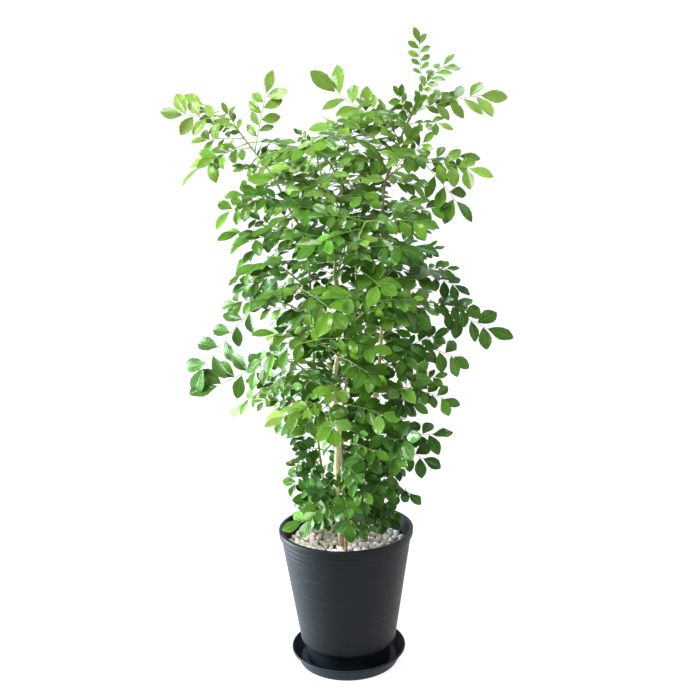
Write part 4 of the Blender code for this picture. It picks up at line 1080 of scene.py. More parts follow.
# %% More leaves for the looks
EXTRA_OUTER = [
    ("leafy_stem_left", (-0.166, 0.948), (-0.248, 1.003, 0.020), 5, 0.3),
    ("leafy_stem_right", (0.138, 1.005), (0.198, 1.056, 0.010), 5, 0.4),
    ("left_upper", (-0.085, 0.772), (-0.187, 0.713, 0.060), 5, 0.1),
    ("left_mid", (-0.095, 0.712), (-0.138, 0.700, -0.090), 5, 0.6),
    ("left_arm", (-0.090, 0.552), (-0.145, 0.560, -0.080), 5, 0.6),
    ("left_spray", (-0.095, 0.505), (-0.175, 0.526, 0.010), 5, 0.4),
    ("right_upper", (0.098, 0.800), (0.193, 0.812, -0.040), 5, 0.5),
    ("right_arm", (0.100, 0.485), (0.145, 0.545, -0.080), 5, 0.8),
    ("right_low", (0.066, 0.333), (0.149, 0.288, -0.020), 5, 0.1),
    ("leafy_stem_front", (-0.003, 0.295), (-0.082, 0.262, -0.070), 5, 0.7),
    ("leafy_stem_left", (-0.037, 0.330), (-0.068, 0.268, -0.060), 5, 0.8),
    ("leafy_stem_centre", (-0.014, 0.330), (0.046, 0.272, -0.098), 5, 0.8),
    ("leafy_stem_right", (0.040, 0.330), (0.062, 0.280, -0.085), 5, 0.8),
    ("leafy_stem_front", (-0.004, 0.380), (0.030, 0.325, -0.120), 5, 0.9),
    ("leafy_stem_left", (-0.040, 0.365), (-0.095, 0.350, 0.030), 5, 0.5),
    ("leafy_stem_left", (-0.037, 0.310), (-0.098, 0.288, 0.075), 5, 0.5),
    ("right_knee", (0.060, 0.397), (0.078, 0.340, -0.100), 5, 0.8),
    ("leafy_stem_right", (0.094, 0.891), (0.128, 0.938, -0.070), 5, 0.8),
    ("leafy_stem_right", (0.104, 0.920), (0.066, 0.965, -0.060), 5, 0.8),
    ("leafy_stem_right", (0.120, 0.955), (0.094, 1.010, -0.050), 5, 0.8),
    ("leafy_stem_right", (0.130, 0.980), (0.160, 1.030, -0.050), 5, 0.8),
    ("leafy_stem_right", (0.086, 0.870), (0.050, 0.915, -0.070), 5, 0.8),
    ("leafy_stem_right", (0.111, 0.939), (0.040, 0.988, -0.030), 5, 0.8),
    ("leafy_stem_right", (0.116, 0.948), (0.138, 0.998, -0.070), 5, 0.8),
    ("leafy_stem_right", (0.126, 0.967), (0.205, 1.000, 0.010), 5, 0.7),
    ("leafy_stem_left", (-0.150, 0.930), (-0.192, 0.985, -0.040), 5, 0.8),
    ("leafy_stem_left", (-0.162, 0.945), (-0.222, 0.958, 0.010), 5, 0.7),
    ("leafy_stem_left", (-0.140, 0.912), (-0.218, 0.895, -0.050), 5, 0.8),
    ("leafy_stem_left", (-0.083, 0.815), (-0.198, 0.842, 0.020), 5, 0.7),
    ("left_upper", (-0.096, 0.780), (-0.206, 0.822, -0.020), 5, 0.8),
    ("leafy_stem_left", (-0.090, 0.828), (-0.160, 0.838, -0.070), 5, 0.8),
    ("left_low", (-0.058, 0.378), (-0.094, 0.398, -0.020), 5, 0.8),
    ("leafy_stem_left", (-0.044, 0.390), (-0.078, 0.376, -0.050), 5, 0.9),
    ("left_low", (-0.048, 0.368), (-0.076, 0.322, -0.050), 5, 0.9),
    ("leafy_stem_left", (-0.037, 0.300), (-0.088, 0.326, 0.000), 5, 0.7),
    ("leafy_stem_centre", (-0.014, 0.320), (-0.060, 0.296, -0.105), 5, 0.9),
    ("leafy_stem_front", (-0.003, 0.285), (0.034, 0.248, -0.092), 5, 0.8),
    ("leafy_stem_right", (0.037, 0.290), (0.088, 0.282, 0.030), 5, 0.5),
    ("leafy_stem_back", (0.006, 0.300), (0.066, 0.290, 0.000), 5, 0.6),
    ("leafy_stem_back", (0.008, 0.330), (0.092, 0.330, 0.030), 5, 0.6),
    ("leafy_stem_centre", (-0.013, 0.345), (0.020, 0.310, -0.120), 5, 0.9),
    ("leafy_stem_front", (-0.003, 0.285), (-0.124, 0.236, -0.047), 5, 0.6),
    ("leafy_stem_right", (0.036, 0.275), (0.078, 0.240, -0.060), 5, 0.8),
    ("leafy_stem_right", (0.038, 0.300), (0.098, 0.252, -0.040), 5, 0.7),
    ("leafy_stem_front", (-0.002, 0.270), (0.062, 0.235, -0.072), 5, 0.8),
    ("leafy_stem_back", (0.006, 0.290), (0.080, 0.262, 0.040), 5, 0.5),
    ("leafy_stem_left", (-0.037, 0.290), (-0.072, 0.245, -0.030), 5, 0.8),
    ("leafy_stem_centre", (-0.010, 0.275), (-0.052, 0.238, -0.080), 5, 0.8),
    ("leafy_stem_back", (0.006, 0.300), (0.100, 0.240, -0.010), 5, 0.6),
    ("leafy_stem_left", (-0.037, 0.285), (-0.086, 0.252, -0.060), 5, 0.8),
    ("leafy_stem_front", (-0.002, 0.275), (0.036, 0.222, -0.092), 5, 0.9),
    ("leafy_stem_front", (-0.002, 0.305), (0.012, 0.258, -0.124), 5, 0.9),
    ("right_knee", (0.060, 0.402), (0.136, 0.426, -0.085), 5, 0.8),
    ("left_upper", (-0.088, 0.774), (-0.182, 0.752, -0.040), 5, 0.7),
    ("left_mid", (-0.090, 0.706), (-0.190, 0.668, -0.030), 5, 0.7),
]
EDGE_HEIGHTS = (0.24, 0.30, 0.34, 0.40, 0.46, 0.54, 0.60, 0.66, 0.72, 0.78, 0.84, 0.90, 0.95, 0.99, 1.01)
EDGE_LEFT = (-0.110, -0.120, -0.105, -0.105, -0.150, -0.165, -0.150, -0.170, -0.160, -0.145, -0.175,
             -0.110, -0.050, 0.050, 0.105)
EDGE_RIGHT = (0.100, 0.100, 0.125, 0.140, 0.160, 0.170, 0.185, 0.190, 0.150, 0.165, 0.155, 0.145, 0.140,
              0.140, 0.140)
EXTRA_DEPTH = 0.182
EXTRA_SPACING = 0.014
EXTRA_SWEEPS = 3
EXTRA_CLEARANCE = -0.0002
EXTRA_LENGTH = (0.100, 0.140)
EXTRA_FACING = (0.4, 1.4)
EXTRA_LIT = (0.3, 1.3)
STEM_START = 0.14
SHOOT_START = 0.25
SWEEP_SHIFT = 0.02
LAST_SHARE = 0.98
FIRST_NUMBER = 7
IN_VIEW = [
    ("leafy_stem_centre", 0.29, 0.43), ("leafy_stem_centre", 0.47, 0.49),
    ("leafy_stem_centre", 0.53, 0.58), ("leafy_stem_centre", 0.67, 0.73),
    ("leafy_stem_left", 0.34, 0.38), ("leafy_stem_right", 0.56, 0.61), ("leafy_stem_right", 0.80, 0.88)]
EYE_DISTANCE = 1.6
SIGHT_NEAR = 0.004
SIGHT_FAR = 0.13


def inside_edge(tip):
    """Whether a tip is seen between the foliage's left and right edges at its height, and isn't deep."""
    seen = EYE + (tip - EYE) * (-EYE.y / (tip.y - EYE.y))
    left = np.interp(seen.z, EDGE_HEIGHTS, EDGE_LEFT)
    right = np.interp(seen.z, EDGE_HEIGHTS, EDGE_RIGHT)
    return abs(tip.y) < EXTRA_DEPTH and left < seen.x < right


def sight_strip(branch, low, high):
    """A strip from a stem towards the camera, between two heights, which no leaf may cross."""
    seen = [point for point in finely_divided(paths[branch]) if low <= point.z <= high]
    shares = (SIGHT_NEAR / EYE_DISTANCE, SIGHT_FAR / EYE_DISTANCE)
    corners = [point.lerp(EYE, share) for point in seen for share in shares]
    faces = [(2 * i, 2 * i + 1, 2 * i + 3, 2 * i + 2) for i in range(len(seen) - 1)]
    places = np.array([tuple(corner) for corner in corners])
    return "sight", BVHTree.FromPolygons(corners, faces), places.min(axis=0), places.max(axis=0)


for row in EXTRA_OUTER:
    keep(settle_outer(row, random, EXTRA_CLEARANCE))
print(f"{len(leaves) - solid_count} of {len(EXTRA_OUTER)} more outer leaves found a place")
taken += [sight_strip(*view) for view in IN_VIEW]
for sweep in range(EXTRA_SWEEPS):
    for name in paths:
        start = STEM_START if name in STEMS else SHOOT_START
        count = max(2, round(lengths[name] * (1 - start) / EXTRA_SPACING / EXTRA_SWEEPS))
        shares = np.linspace(start + SWEEP_SHIFT * sweep, LAST_SHARE, count)
        for number, share in enumerate(shares):
            keep(settle_filler(name, share, EXTRA_SWEEPS * number + sweep + FIRST_NUMBER, random,
                               inside_edge, EXTRA_CLEARANCE, EXTRA_LENGTH, EXTRA_FACING, EXTRA_LIT))
print(f"with the added ones: {len(leaves)} leaves")

# %% [markdown]
# A stem is a ring of points carried along its path, every 3 mm. It tapers from foot to tip, flares where
# it leaves its parent, swells where a leaf is attached, and has slow lumps round it, because a branch is
# never quite round. Each shoot and each midrib starts inside what it grows from, so no gap shows.

# %% Stems, shoots and midribs as surfaces
STEM_SIDES = 14
SHOOT_RING_SIDES = 8
RIB_SIDES = 6
RIB_RINGS = 11
PATH_STEPS = 6
RING_SPACING = 0.003
LUMPS = 0.03
FLARE = 0.9
FLARE_LENGTH = 0.007
STEM_FLARE_SHARE = 0.35
LUMP_WAVES = ((1, 0.061), (2, 0.023), (3, 0.0094))
STEM_AGES = [(0, 1.0), (0.45, 0.75), (0.8, 0.35), (1, 0.12)]
KNOT = 0.16
KNOT_LENGTH = 0.0028
RIB_FOOT_RADIUS = 0.00085
RIB_TIP_RADIUS = 0.00042
RIB_SWELLING = 0.0006
RIB_AGES = (0.0, 0.14)

look_random = np.random.default_rng(3)


def unit(vectors):
    """The same directions with a length of one."""
    return vectors / np.linalg.norm(vectors, axis=-1, keepdims=True)


def tube_surface(path, radius):
    """Rings round a path, with its two ends as the last points, and their faces.

    A ring's first direction is square to the slope and to the axis that the path follows least. The
    second is square to the slope and the first. Radius has a row per ring and a column per side.
    """
    slope = unit(np.gradient(path, axis=0))
    first = unit(np.cross(slope, np.eye(3)[np.argmin(np.abs(path[-1] - path[0]))]))
    second = np.cross(slope, first)
    rings, sides = radius.shape
    turn = 2 * np.pi * np.arange(sides)[:, None] / sides
    rim = first[:, None] * np.cos(turn) + second[:, None] * np.sin(turn)
    points = path[:, None] + radius[..., None] * rim
    return np.vstack([points.reshape(-1, 3), path[:1], path[-1:]]), closed_faces(rings, sides)


def evenly(path, spacing):
    """Points at even steps along a path, and the share of the path's own points that each has come."""
    run = np.append(0, np.cumsum(np.linalg.norm(np.diff(path, axis=0), axis=1)))
    even = np.linspace(0, run[-1], max(4, round(run[-1] / spacing)))
    share = np.interp(even, run, np.linspace(0, 1, len(path)))
    return np.stack([np.interp(even, run, path[:, axis]) for axis in range(3)], axis=-1), share


def nearest(path, point):
    """The path's point that lies nearest to a point."""
    return path[np.argmin(np.linalg.norm(path - point, axis=1))]


drawn, shares = {}, {}
for name, path in paths.items():
    smooth = np.array([tuple(point) for point in smooth_path(path, PATH_STEPS)])
    if name in SHOOTS:
        fade = np.linspace(1, 0, len(smooth))[:, None] ** 2
        smooth += (nearest(drawn[SHOOTS[name].parent], smooth[0]) - smooth[0]) * fade
    drawn[name], shares[name] = evenly(smooth, RING_SPACING)

leaf_feet = {name: [] for name in paths}
for leaf in leaves:
    leaf_feet[leaf.branch].append(nearest(drawn[leaf.branch], np.array(leaf.foot)))


def stem_surface(name):
    """A stem or shoot: its surface, and its age, which falls from foot to tip.

    The radius is a straight taper, times one plus the flare, the knots and the lumps. Flare and knots are
    bell curves of the distance to the foot and to each leaf. The lumps are three sine waves.
    """
    path, share = drawn[name], shares[name]
    stem = STEMS.get(name)
    foot_radius, tip_radius = SHOOT_FOOT_RADIUS, SHOOT_TIP_RADIUS
    sides, start, flare_share = SHOOT_RING_SIDES, path[0], 1
    age = 0.30 - 0.28 * share
    if stem:
        foot_radius, tip_radius = stem.foot_radius, stem.tip_radius
        sides, flare_share = STEM_SIDES, STEM_FLARE_SHARE
        start = np.array([path[0][0], path[0][1], GRAVEL_TOP])
        thickness = foot_radius / STEMS["leafy_stem_centre"].foot_radius
        age = np.interp(share, *zip(*STEM_AGES)) * thickness
    flare = FLARE * np.exp(-(np.linalg.norm(path - start, axis=1) / FLARE_LENGTH) ** 2) * flare_share
    feet = np.array(leaf_feet[name]).reshape(-1, 3)
    knots = np.exp(-(np.linalg.norm(path[:, None] - feet[None], axis=-1) / KNOT_LENGTH) ** 2).sum(axis=1)
    turn = 2 * np.pi * np.arange(sides) / sides
    lumps = np.zeros((len(path), sides))
    for waves, length in LUMP_WAVES:
        phase, lean = look_random.uniform(0, 2 * np.pi, 2)
        along = np.arange(len(path))[:, None] * RING_SPACING * 2 * np.pi / length
        lumps += np.sin(along + phase) * np.cos(waves * turn + lean)
    taper = foot_radius + (tip_radius - foot_radius) * share
    radius = (taper * (1 + flare + KNOT * np.minimum(knots, 1)))[:, None] * (1 + LUMPS * lumps)
    radius[-1] *= 0.5
    return tube_surface(path, radius), np.append(np.repeat(age, sides), (age[0], age[-1]))


def leaf_midrib(leaf, along):
    """The leaf's midrib and directions, as the solids have them, with the foot drawn onto the stem."""
    point, slope, side, out = midrib_at(leaf, along)
    foot = np.array(leaf.foot)
    shift = nearest(drawn[leaf.branch], foot) - foot
    return point + shift * (1 - np.asarray(along)[:, None]) ** 2, unit(slope), side, out


def rib_surface(leaf):
    """A leaf's midrib, from inside its stem to where the last leaflet starts, thick at the foot."""
    along = np.linspace(0, 1.02 - LEAFLET_LENGTHS[leaf.leaflets][2], RIB_RINGS)
    radius = RIB_TIP_RADIUS + (RIB_FOOT_RADIUS - RIB_TIP_RADIUS) * (1 - along) ** 2
    radius = radius + RIB_SWELLING * np.exp(-along * 30)
    surface = tube_surface(leaf_midrib(leaf, along)[0], np.repeat(radius[:, None], RIB_SIDES, axis=1))
    return surface, np.full(RIB_RINGS * RIB_SIDES + 2, look_random.uniform(*RIB_AGES))


def joined(parts):
    """Several surfaces as one: each one's faces are moved on by the points before it."""
    counts = [len(points) for points, _ in parts]
    starts = np.cumsum([0] + counts[:-1])
    faces = [pattern + start for (_, patterns), start in zip(parts, starts) for pattern in patterns]
    return np.vstack([points for points, _ in parts]), faces


# %% [markdown]
# Young jasmine stems are green. Older bark is pale tan and dull, split along the stem by fine brown
# lines about 1 mm apart, with small pale corky dots, and it is brownest near the soil, where it stays
# damp. The stem's age runs along it as an attribute, so that green turns to tan without a seam. The
# lines are noise stretched six times along the upright.

# %% Bark
BARK_LINE = 1 / 0.0012
CORK_DOT = 1 / 0.0045
PATCHES = 70.0
DAMP_TOP = 0.275
DAMP_FOOT = 0.222
bark, tree, shader, place = start_material("Jasmine bark", {"Roughness": 0.72, "IOR": 1.45})
age = add(tree, "Attribute", {"attribute_name": "age"}).outputs["Fac"]
stretched = add(tree, "Mapping", {"Scale": (1, 1, 0.16)}, {"Vector": place})
lines = add(tree, "TexNoise", {"Scale": BARK_LINE, "Detail": 4.0, "Roughness": 0.6}, {"Vector": stretched})
patches = add(tree, "TexNoise", {"Scale": PATCHES, "Detail": 3.0}, {"Vector": place})
dots = add(tree, "TexVoronoi", {"Scale": CORK_DOT}, {"Vector": place})
uneven = add(tree, "Math", {"operation": "MULTIPLY_ADD", 1: 0.3, 2: -0.15}, {0: patches})
aged = add(tree, "Math", {"operation": "ADD"}, {0: age, 1: uneven})
skin = add(tree, "ValToRGB", {"steps": [(0.0, "#7f9a3c"), (0.14, "#6f8640"), (0.34, "#7c7a4e"),
                                        (0.60, "#e0d08f"), (0.80, "#fdf1bc"), (1.0, "#f8e6ae")]},
           {"Fac": aged})
split = add(tree, "MapRange", {"From Min": 0.40, "From Max": 0.54, "To Min": 0.45, "To Max": 0.0},
            {"Value": lines})
woody = add(tree, "Math", {"operation": "MULTIPLY"}, {0: split, 1: age})
lined = add(tree, "Mix", {"data_type": "RGBA", 7: "#7a6446"}, {0: woody, 6: skin})
corky = add(tree, "MapRange", {"From Min": 0.13, "From Max": 0.08, "To Max": 0.7}, {"Value": dots})
dotted = add(tree, "Mix", {"data_type": "RGBA", 7: "#e4d8ba"}, {0: corky, 6: lined})
height = add(tree, "SeparateXYZ", {}, {"Vector": place}).outputs["Z"]
damp = add(tree, "MapRange", {"From Min": DAMP_TOP, "From Max": DAMP_FOOT, "To Max": 0.85}, {"Value": height})
browned = add(tree, "Mix", {"data_type": "RGBA", 7: "#6f5034"}, {0: damp, 6: dotted})
ridged = add(tree, "Math", {"operation": "MULTIPLY"}, {0: lines, 1: age})
ridges = add(tree, "Bump", {"Distance": 0.0004}, {"Height": ridged})
feed(shader, {"Base Color": browned, "Normal": ridges})

# %% [markdown]
# Each stem's piece holds the stem, its shoots and the midribs of all their leaves, as one mesh.

# %% Stem pieces
for node in STEMS:
    branches = [name for name in paths if node_of(name) == node]
    surfaces = [stem_surface(name) for name in branches]
    surfaces += [rib_surface(leaf) for leaf in leaves if node_of(leaf.branch) == node]
    points, faces = joined([surface for surface, _ in surfaces])
    piece = make_piece(node.replace("leafy_", ""), points, faces, [bark],
                       values={"age": np.concatenate([ages for _, ages in surfaces])})
    dress(piece, "bark", node)

# %% [markdown]
# A leaflet is a thin blade on a short stalk: an ellipse that ends in a blunt point, a little folded
# along its midrib, drooping towards the tip and faintly waved. On the grid below, rows run from stalk
# to tip and eight columns go round the blade, over the upper face and back under it, so that every
# leaflet is a closed solid about 0.4 mm thick. Its margin is marked sharp, which keeps the shading of
# the two faces apart. All the leaflets of a stem are one array.

# %% Leaflets
MORE_LEAFLETS = {5: 7, 7: 9, 9: 9}
RING_PLACES = np.array([0.045, 0.10, 0.21, 0.37, 0.55, 0.74, 0.91])
ACROSS = np.array([1, 0.5, 0, -0.5, -1, -0.5, 0, 0.5])
OVER_UNDER = np.array([0, 1, 1, 1, 0, -1, -1, -1])
STALK = 0.045
THICKNESS = 0.0004
UNDER_COLUMNS = 4
WIDTH_FOR_LENGTH = (0.46, 0.56)
END_WIDTH_FOR_LENGTH = (0.44, 0.52)
ANGLE_SPREAD = 0.13
ROLL_SPREAD = math.radians(20) / 1.5
PITCH = (-0.18, 0.30)
LARGER_BY_HEIGHT = [(0.30, 0.99), (0.45, 0.95), (0.60, 0.92), (0.70, 1.0), (0.80, 1.06), (0.90, 1.06),
                    (1.03, 1.10), (1.05, 1.30)]
LARGER_ON = {"centre_low": 1.10, "left_arm": 1.12, "left_reach": 1.12, "right_mid": 1.25, "right_reach": 1.15,
             "right_spray": 1.15, "right_arm": 1.12, "right_knee": 1.10}
WIDER_BY_HEIGHT = [(0.35, 1.14), (0.60, 1.04), (0.85, 0.94)]
END_SMALLER = 0.88
LEAN_BY_HEIGHT = [(0.30, 0.25), (0.60, 0.30), (0.90, 0.40)]
LIT_BY_HEIGHT = [(0.30, 1.1), (0.60, 1.15), (0.90, 1.2)]
FOLD_RANGE = (0.06, 0.42)
CURL_RANGE = (-0.02, 0.22)
WAVE_RANGE = (0.0, 0.07)
PHASE_RANGE = (0, 6.28)
SIDE_SIZES = (0.88, 1.10)
AGE_BY_HEIGHT = [(0.24, 0.92), (0.36, 0.84), (0.44, 0.76), (0.54, 0.62), (0.64, 0.76), (0.75, 0.68),
                 (0.88, 0.48), (1.05, 0.36)]
AGE_SPREAD = 0.13
LEAFLET_AGE_SPREAD = 0.04
YOUNGER = {"centre_low": 0.20, "left_spray": 0.08, "front_left": 0.15, "front_right": 0.1}
BELLY = 1.16
BLUNT = 0.82
LEAST_WIDTH = 0.03


def leaflets_on(leaf):
    """One row per leaflet: foot, direction, face, length, width, fold, curl, wave, phase, age and tone.

    A side leaflet points along the midrib's slope turned by its angle, left and right in turn, and the
    last one goes on from the midrib. Its face is the midrib's out direction made square to its own
    direction, leaned outwards to the light and rolled about it.
    """
    shortest, longest, end_length = LEAFLET_LENGTHS[leaf.leaflets]
    count = MORE_LEAFLETS[leaf.leaflets]
    middle = np.array((leaf.foot + leaf.tip) / 2)

    def by_height(steps):
        """What the steps of (height, value) say at this leaf's height."""
        return np.interp(middle[2], *zip(*steps))

    share = np.linspace(0, 1, count - 1)
    along = np.append(FIRST_LEAFLET + (0.96 - end_length - FIRST_LEAFLET) * share, 1 - end_length)
    turn_side = np.append(np.where(np.arange(count - 1) % 2, 1.0, -1.0), 0.0)
    point, slope, side, out = leaf_midrib(leaf, along)
    angle = LEAFLET_ANGLE * np.abs(turn_side) + look_random.normal(0, ANGLE_SPREAD, count)
    aside = np.where(turn_side == 0, np.sin(angle), turn_side * np.sin(angle))[:, None]
    pitch = look_random.uniform(*PITCH, count)[:, None]
    direction = unit(slope * np.cos(angle)[:, None] + side * aside - out * (FOLD * np.abs(aside) + pitch))
    outward = unit(middle * (1, 1, 0)) * by_height(LEAN_BY_HEIGHT)
    out = out + outward + np.array(TO_LIGHT) * by_height(LIT_BY_HEIGHT)
    face = unit(out - direction * np.sum(out * direction, axis=1, keepdims=True))
    roll = look_random.normal(0, ROLL_SPREAD, (count, 1))
    face = face * np.cos(roll) + np.cross(direction, face) * np.sin(roll)
    length = np.append(shortest + (longest - shortest) * share, end_length) * (leaf.tip - leaf.foot).length
    length *= by_height(LARGER_BY_HEIGHT) * LARGER_ON.get(leaf.branch, 1)
    length[:-1] *= look_random.uniform(*SIDE_SIZES, count - 1)
    length[-1] *= END_SMALLER
    side_widths = look_random.uniform(*WIDTH_FOR_LENGTH, count - 1)
    widths = np.append(side_widths, look_random.uniform(*END_WIDTH_FOR_LENGTH, 1))
    width = length * widths * by_height(WIDER_BY_HEIGHT)
    leaf_age = by_height(AGE_BY_HEIGHT) - YOUNGER.get(leaf.branch, 0) + look_random.normal(0, AGE_SPREAD)
    shape = [look_random.uniform(*bounds, count)
             for bounds in (FOLD_RANGE, CURL_RANGE, WAVE_RANGE, PHASE_RANGE)]
    ages = np.clip(leaf_age + look_random.normal(0, LEAFLET_AGE_SPREAD, count), 0, 1)
    tones = look_random.uniform(0, 1, count)
    return np.column_stack([point, direction, face, length, width, *shape, ages, tones])


def leaflet_surfaces(rows):
    """Points of all leaflets, with their UV (along, across), whether a point is on the margin, and values.

    Half the width at a share of the length is the sine of pi times the share to the power of the belly,
    to the power of the blunting, plus the least width. A point goes along, aside by that width, and up by
    the fold times how far aside it is, less the curl times the share squared, plus the wave, plus or minus
    half the thickness.
    """
    foot, direction, face = rows[:, None, None, 0:3], rows[:, None, None, 3:6], rows[:, None, None, 6:9]
    length, width, fold, curl, wave, phase = (rows[:, None, None, 9 + i] for i in range(6))
    side = np.cross(face, direction)
    share = RING_PLACES[None, :, None]
    blade_share = np.maximum(share - STALK, 0) / (1 - STALK)
    outline = np.sin(np.pi * blade_share ** BELLY) ** BLUNT + LEAST_WIDTH
    aside = width / 2 * outline * ACROSS
    up = fold * np.abs(aside) - curl * length * share ** 2
    up = up + wave * length * ACROSS ** 2 * np.sin(9 * share + phase) * outline + THICKNESS / 2 * OVER_UNDER
    points = foot + direction * (length * share)[..., None] + side * aside[..., None] + face * up[..., None]
    count = len(rows)
    tip = foot + direction * length[..., None] - face * (curl * length)[..., None]
    ends = np.stack([foot[:, 0, 0], tip[:, 0, 0]], axis=1)
    points = np.concatenate([points.reshape(count, -1, 3), ends], axis=1)
    flat = np.stack(np.broadcast_arrays(RING_PLACES[:, None], ACROSS[None]), axis=-1).reshape(-1, 2)
    uv = np.vstack([flat, (0, 0), (1, 0)])
    margin = np.append(np.tile(OVER_UNDER == 0, len(RING_PLACES)), (True, True))
    per_point = [np.repeat(rows[:, column], points.shape[1]) for column in (15, 16)]
    return points, np.tile(uv, (count, 1)), np.tile(margin, count), per_point


# %% [markdown]
# A jasmine leaflet is leathery and covered by a clear wax, which gives small white highlights over the
# blade's own wide sheen, and that sheen is green. Young ones are yellow-green and thin, and old ones
# dark and bluish. The midrib is a pale line, and about nine veins leave it on each side, slanting
# towards the tip, with the blade slightly puffed between them. The pattern follows the leaflet through
# its UV: the distance from the midrib slants the lines, and a ping-pong wave repeats them. The underside
# is paler and matt, with the midrib raised.

# %% Leaf faces
VEIN_PAIRS = 9.0
VEIN_SLANT = 2.6
MOTTLE = 140.0
SHEEN = "#b2dc92"


def leaf_face(name, settings, steps, vein_colour, vein_share, puff):
    """One face of a leaflet: a ramp of greens by age, pale veins, and a blade puffed between them."""
    material, tree, shader, place = start_material(name, settings)
    along_across = add(tree, "SeparateXYZ", {}, {"Vector": add(tree, "TexCoord").outputs["UV"]})
    aside = add(tree, "Math", {"operation": "ABSOLUTE"}, {0: along_across.outputs["Y"]})
    slant = add(tree, "Math", {"operation": "MULTIPLY", 1: -VEIN_SLANT}, {0: aside})
    phase = add(tree, "Math", {"operation": "MULTIPLY_ADD", 1: VEIN_PAIRS},
                {0: along_across.outputs["X"], 2: slant})
    wave = add(tree, "Math", {"operation": "PINGPONG", 1: 0.5}, {0: phase})
    veins = add(tree, "MapRange", {"From Max": 0.10, "To Min": 0.5, "To Max": 0.0}, {"Value": wave})
    midrib = add(tree, "MapRange", {"From Min": 0.025, "From Max": 0.07, "To Min": 1.0, "To Max": 0.0},
                 {"Value": aside})
    lines = add(tree, "Math", {"operation": "MAXIMUM"}, {0: veins, 1: midrib})
    mottle = add(tree, "TexNoise", {"Scale": MOTTLE, "Detail": 3.0}, {"Vector": place})
    age = add(tree, "Attribute", {"attribute_name": "age"}).outputs["Fac"]
    uneven = add(tree, "Math", {"operation": "MULTIPLY_ADD", 1: 0.24, 2: -0.12}, {0: mottle})
    aged = add(tree, "Math", {"operation": "ADD"}, {0: age, 1: uneven})
    green = add(tree, "ValToRGB", {"steps": steps}, {"Fac": aged})
    tone = add(tree, "Attribute", {"attribute_name": "tone"}).outputs["Fac"]
    lightness = add(tree, "MapRange", {"To Min": 0.58, "To Max": 1.32}, {"Value": tone})
    hue = add(tree, "MapRange", {"To Min": 0.480, "To Max": 0.516}, {"Value": mottle})
    shade = add(tree, "HueSaturation", {}, {"Color": green, "Value": lightness, "Hue": hue})
    vein_mix = add(tree, "Math", {"operation": "MULTIPLY", 1: vein_share}, {0: lines})
    veined = add(tree, "Mix", {"data_type": "RGBA", 7: vein_colour}, {0: vein_mix, 6: shade})
    relief = add(tree, "Math", {"operation": "SUBTRACT"}, {0: wave, 1: midrib})
    puffed = add(tree, "Bump", {"Strength": 1.0, "Distance": puff}, {"Height": relief})
    feed(shader, {"Base Color": veined, "Normal": puffed})
    return material


upper_face = leaf_face(
    "Waxy leaf, upper face",
    {"Roughness": 0.38, "IOR": 1.36, "Specular Tint": SHEEN, "Coat Weight": 0.32, "Coat Roughness": 0.13},
    [(0.0, "#8ba648"), (0.25, "#73953c"), (0.5, "#54801f"), (0.75, "#3c6e17"), (1.0, "#234d1f")],
    "#b4cc74", 0.25, 0.0006)
lower_face = leaf_face(
    "Matt leaf, underside", {"Roughness": 0.62, "IOR": 1.40, "Specular Tint": SHEEN},
    [(0.0, "#a3bf4e"), (0.25, "#86a93e"), (0.5, "#648c36"), (0.75, "#4e7431"), (1.0, "#42632f")],
    "#c0d08c", 0.30, -0.00035)

# %% [markdown]
# Each stem's leaflets are one mesh with two materials: the columns over the blade get the waxy face,
# and those under it the matt one.

# %% Leaf pieces
POINTS_EACH = len(RING_PLACES) * len(ACROSS) + 2
leaf_patterns = closed_faces(len(RING_PLACES), len(ACROSS))
under_faces = [pattern[:, 0] % len(ACROSS) >= UNDER_COLUMNS for pattern in leaf_patterns]
leaflet_total = 0
for node in STEMS:
    rows = np.vstack([leaflets_on(leaf) for leaf in leaves if node_of(leaf.branch) == node])
    points, uv, margin, (ages, tones) = leaflet_surfaces(rows)
    faces = [repeated(pattern, len(rows), POINTS_EACH) for pattern in leaf_patterns]
    piece = make_piece(node.replace("leafy_stem", "leaves"), points, faces, [upper_face, lower_face],
                       values={"age": ages, "tone": tones}, uv=uv, sharp=margin)
    is_under = np.concatenate([np.tile(under, len(rows)) for under in under_faces])
    piece.data.polygons.foreach_set("material_index", is_under.astype(np.int32))
    dress(piece, "leaf", node)
    leaflet_total += len(rows)
print(f"{len(leaves)} leaves with {leaflet_total} leaflets")

# %% [markdown]
# The plant stands on a pale floor that curves up into a wall, as a photographer's light table does: a
# sheet of translucent white acrylic, lit from behind, so that no edge and hardly a shadow shows. One
# large soft light comes from the upper left, and a weaker one fills from the right. A pale blue one
# overhead stands for a window and gives the wax its small sky-coloured glints. The last stands low at
# the left, where the pot's flank mirrors it as a sheen. The room is dim as a light, so the gaps between
# the leaves stay dark, but white where the camera looks past the table.

# %% Light table and lights
SWEEP_RADIUS = 1.6
SWEEP_FLAT = 1.2
SWEEP_HALF_WIDTH = 5.0
TABLE_GLOW = 0.93
acrylic, tree, shader, place = start_material("Opal acrylic, lit from behind", {
    "Roughness": 0.7, "Base Color": "#6e6e6e", "Emission Strength": TABLE_GLOW})
haze = add(tree, "TexNoise", {"Scale": 3.0, "Detail": 2.0}, {"Vector": place})
glow = add(tree, "ValToRGB", {"steps": [(0.3, "#f8f8f7"), (0.7, "#fdfdfd")]}, {"Fac": haze})
feed(shader, {"Emission Color": glow})

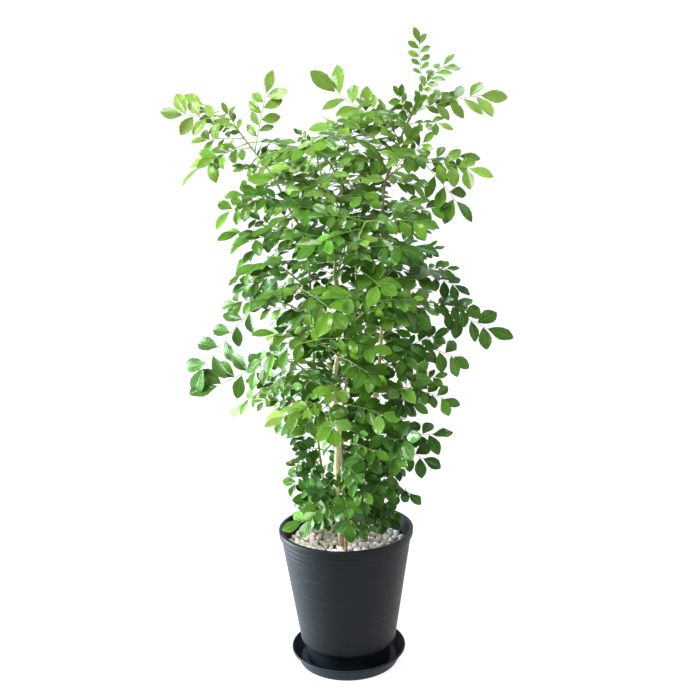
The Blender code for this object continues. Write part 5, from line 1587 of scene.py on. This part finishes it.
sweep_profile = np.vstack([
    [(-4.0, -0.0003)], arc((SWEEP_FLAT, SWEEP_RADIUS - 0.0003), SWEEP_RADIUS, -90, 0, 32),
    [(SWEEP_FLAT + SWEEP_RADIUS, 5.0)]])
across = np.broadcast_to([-SWEEP_HALF_WIDTH, SWEEP_HALF_WIDTH], (len(sweep_profile), 2))
deep, high = (np.repeat(sweep_profile[:, axis:axis + 1], 2, axis=1) for axis in (0, 1))
sweep_points = np.stack([across, deep, high], axis=-1)
sweep_faces = np.array([0, 1, 3, 2]) + 2 * np.arange(len(sweep_profile) - 1)[:, None]
sweep = make_piece("light_table", sweep_points, [sweep_faces], [acrylic])
sweep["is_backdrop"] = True


def soft_light(name, place, target, side, watts, colour="#ffffff"):
    """A square area light of this side that shines from its place towards the target."""
    light = bpy.data.lights.new(name, "AREA")
    light.size = side
    light.energy = watts
    light.color = linear(colour)[:3]
    lamp = put(name, light)
    turned = (Vector(target) - Vector(place)).to_track_quat("-Z", "Y").to_matrix().to_4x4()
    lamp.matrix_world = Matrix.Translation(place) @ turned


soft_light("key", (-1.5, -1.6, 2.6), (0, 0, 0.55), 1.25, 135)
soft_light("fill", (2.2, -1.2, 1.6), (0, 0, 0.5), 1.4, 20)
soft_light("window", (0.4, 0.3, 2.9), (0, 0, 0.55), 0.9, 40, "#d6e8ff")
soft_light("side", (-1.42, 0.30, 0.36), (0, 0, 0.25), 0.65, 132, "#e2efff")
ROOM_LIGHT = 0.24
world = bpy.data.worlds.new("Dim room, seen white")
world.use_nodes = True
room = world.node_tree.nodes["Background"]
room.inputs["Color"].default_value = linear("#f6faff")
seen = add(world.node_tree, "LightPath").outputs["Is Camera Ray"]
strength = add(world.node_tree, "MapRange", {"To Min": ROOM_LIGHT, "To Max": 1.0}, {"Value": seen})
feed(room, {"Strength": strength})
bpy.context.scene.world = world

# %% [markdown]
# Last, the sizes of the solids and of the dressed plant are printed. Its box may not stand out of
# theirs by more than a leaf tip.

# %% Sizes
visual_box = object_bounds()
sizes = {"cad": [list(corner) for corner in cad_box], "visual": [list(corner) for corner in visual_box]}
print("cad", sizes["cad"])
print("visual", sizes["visual"])
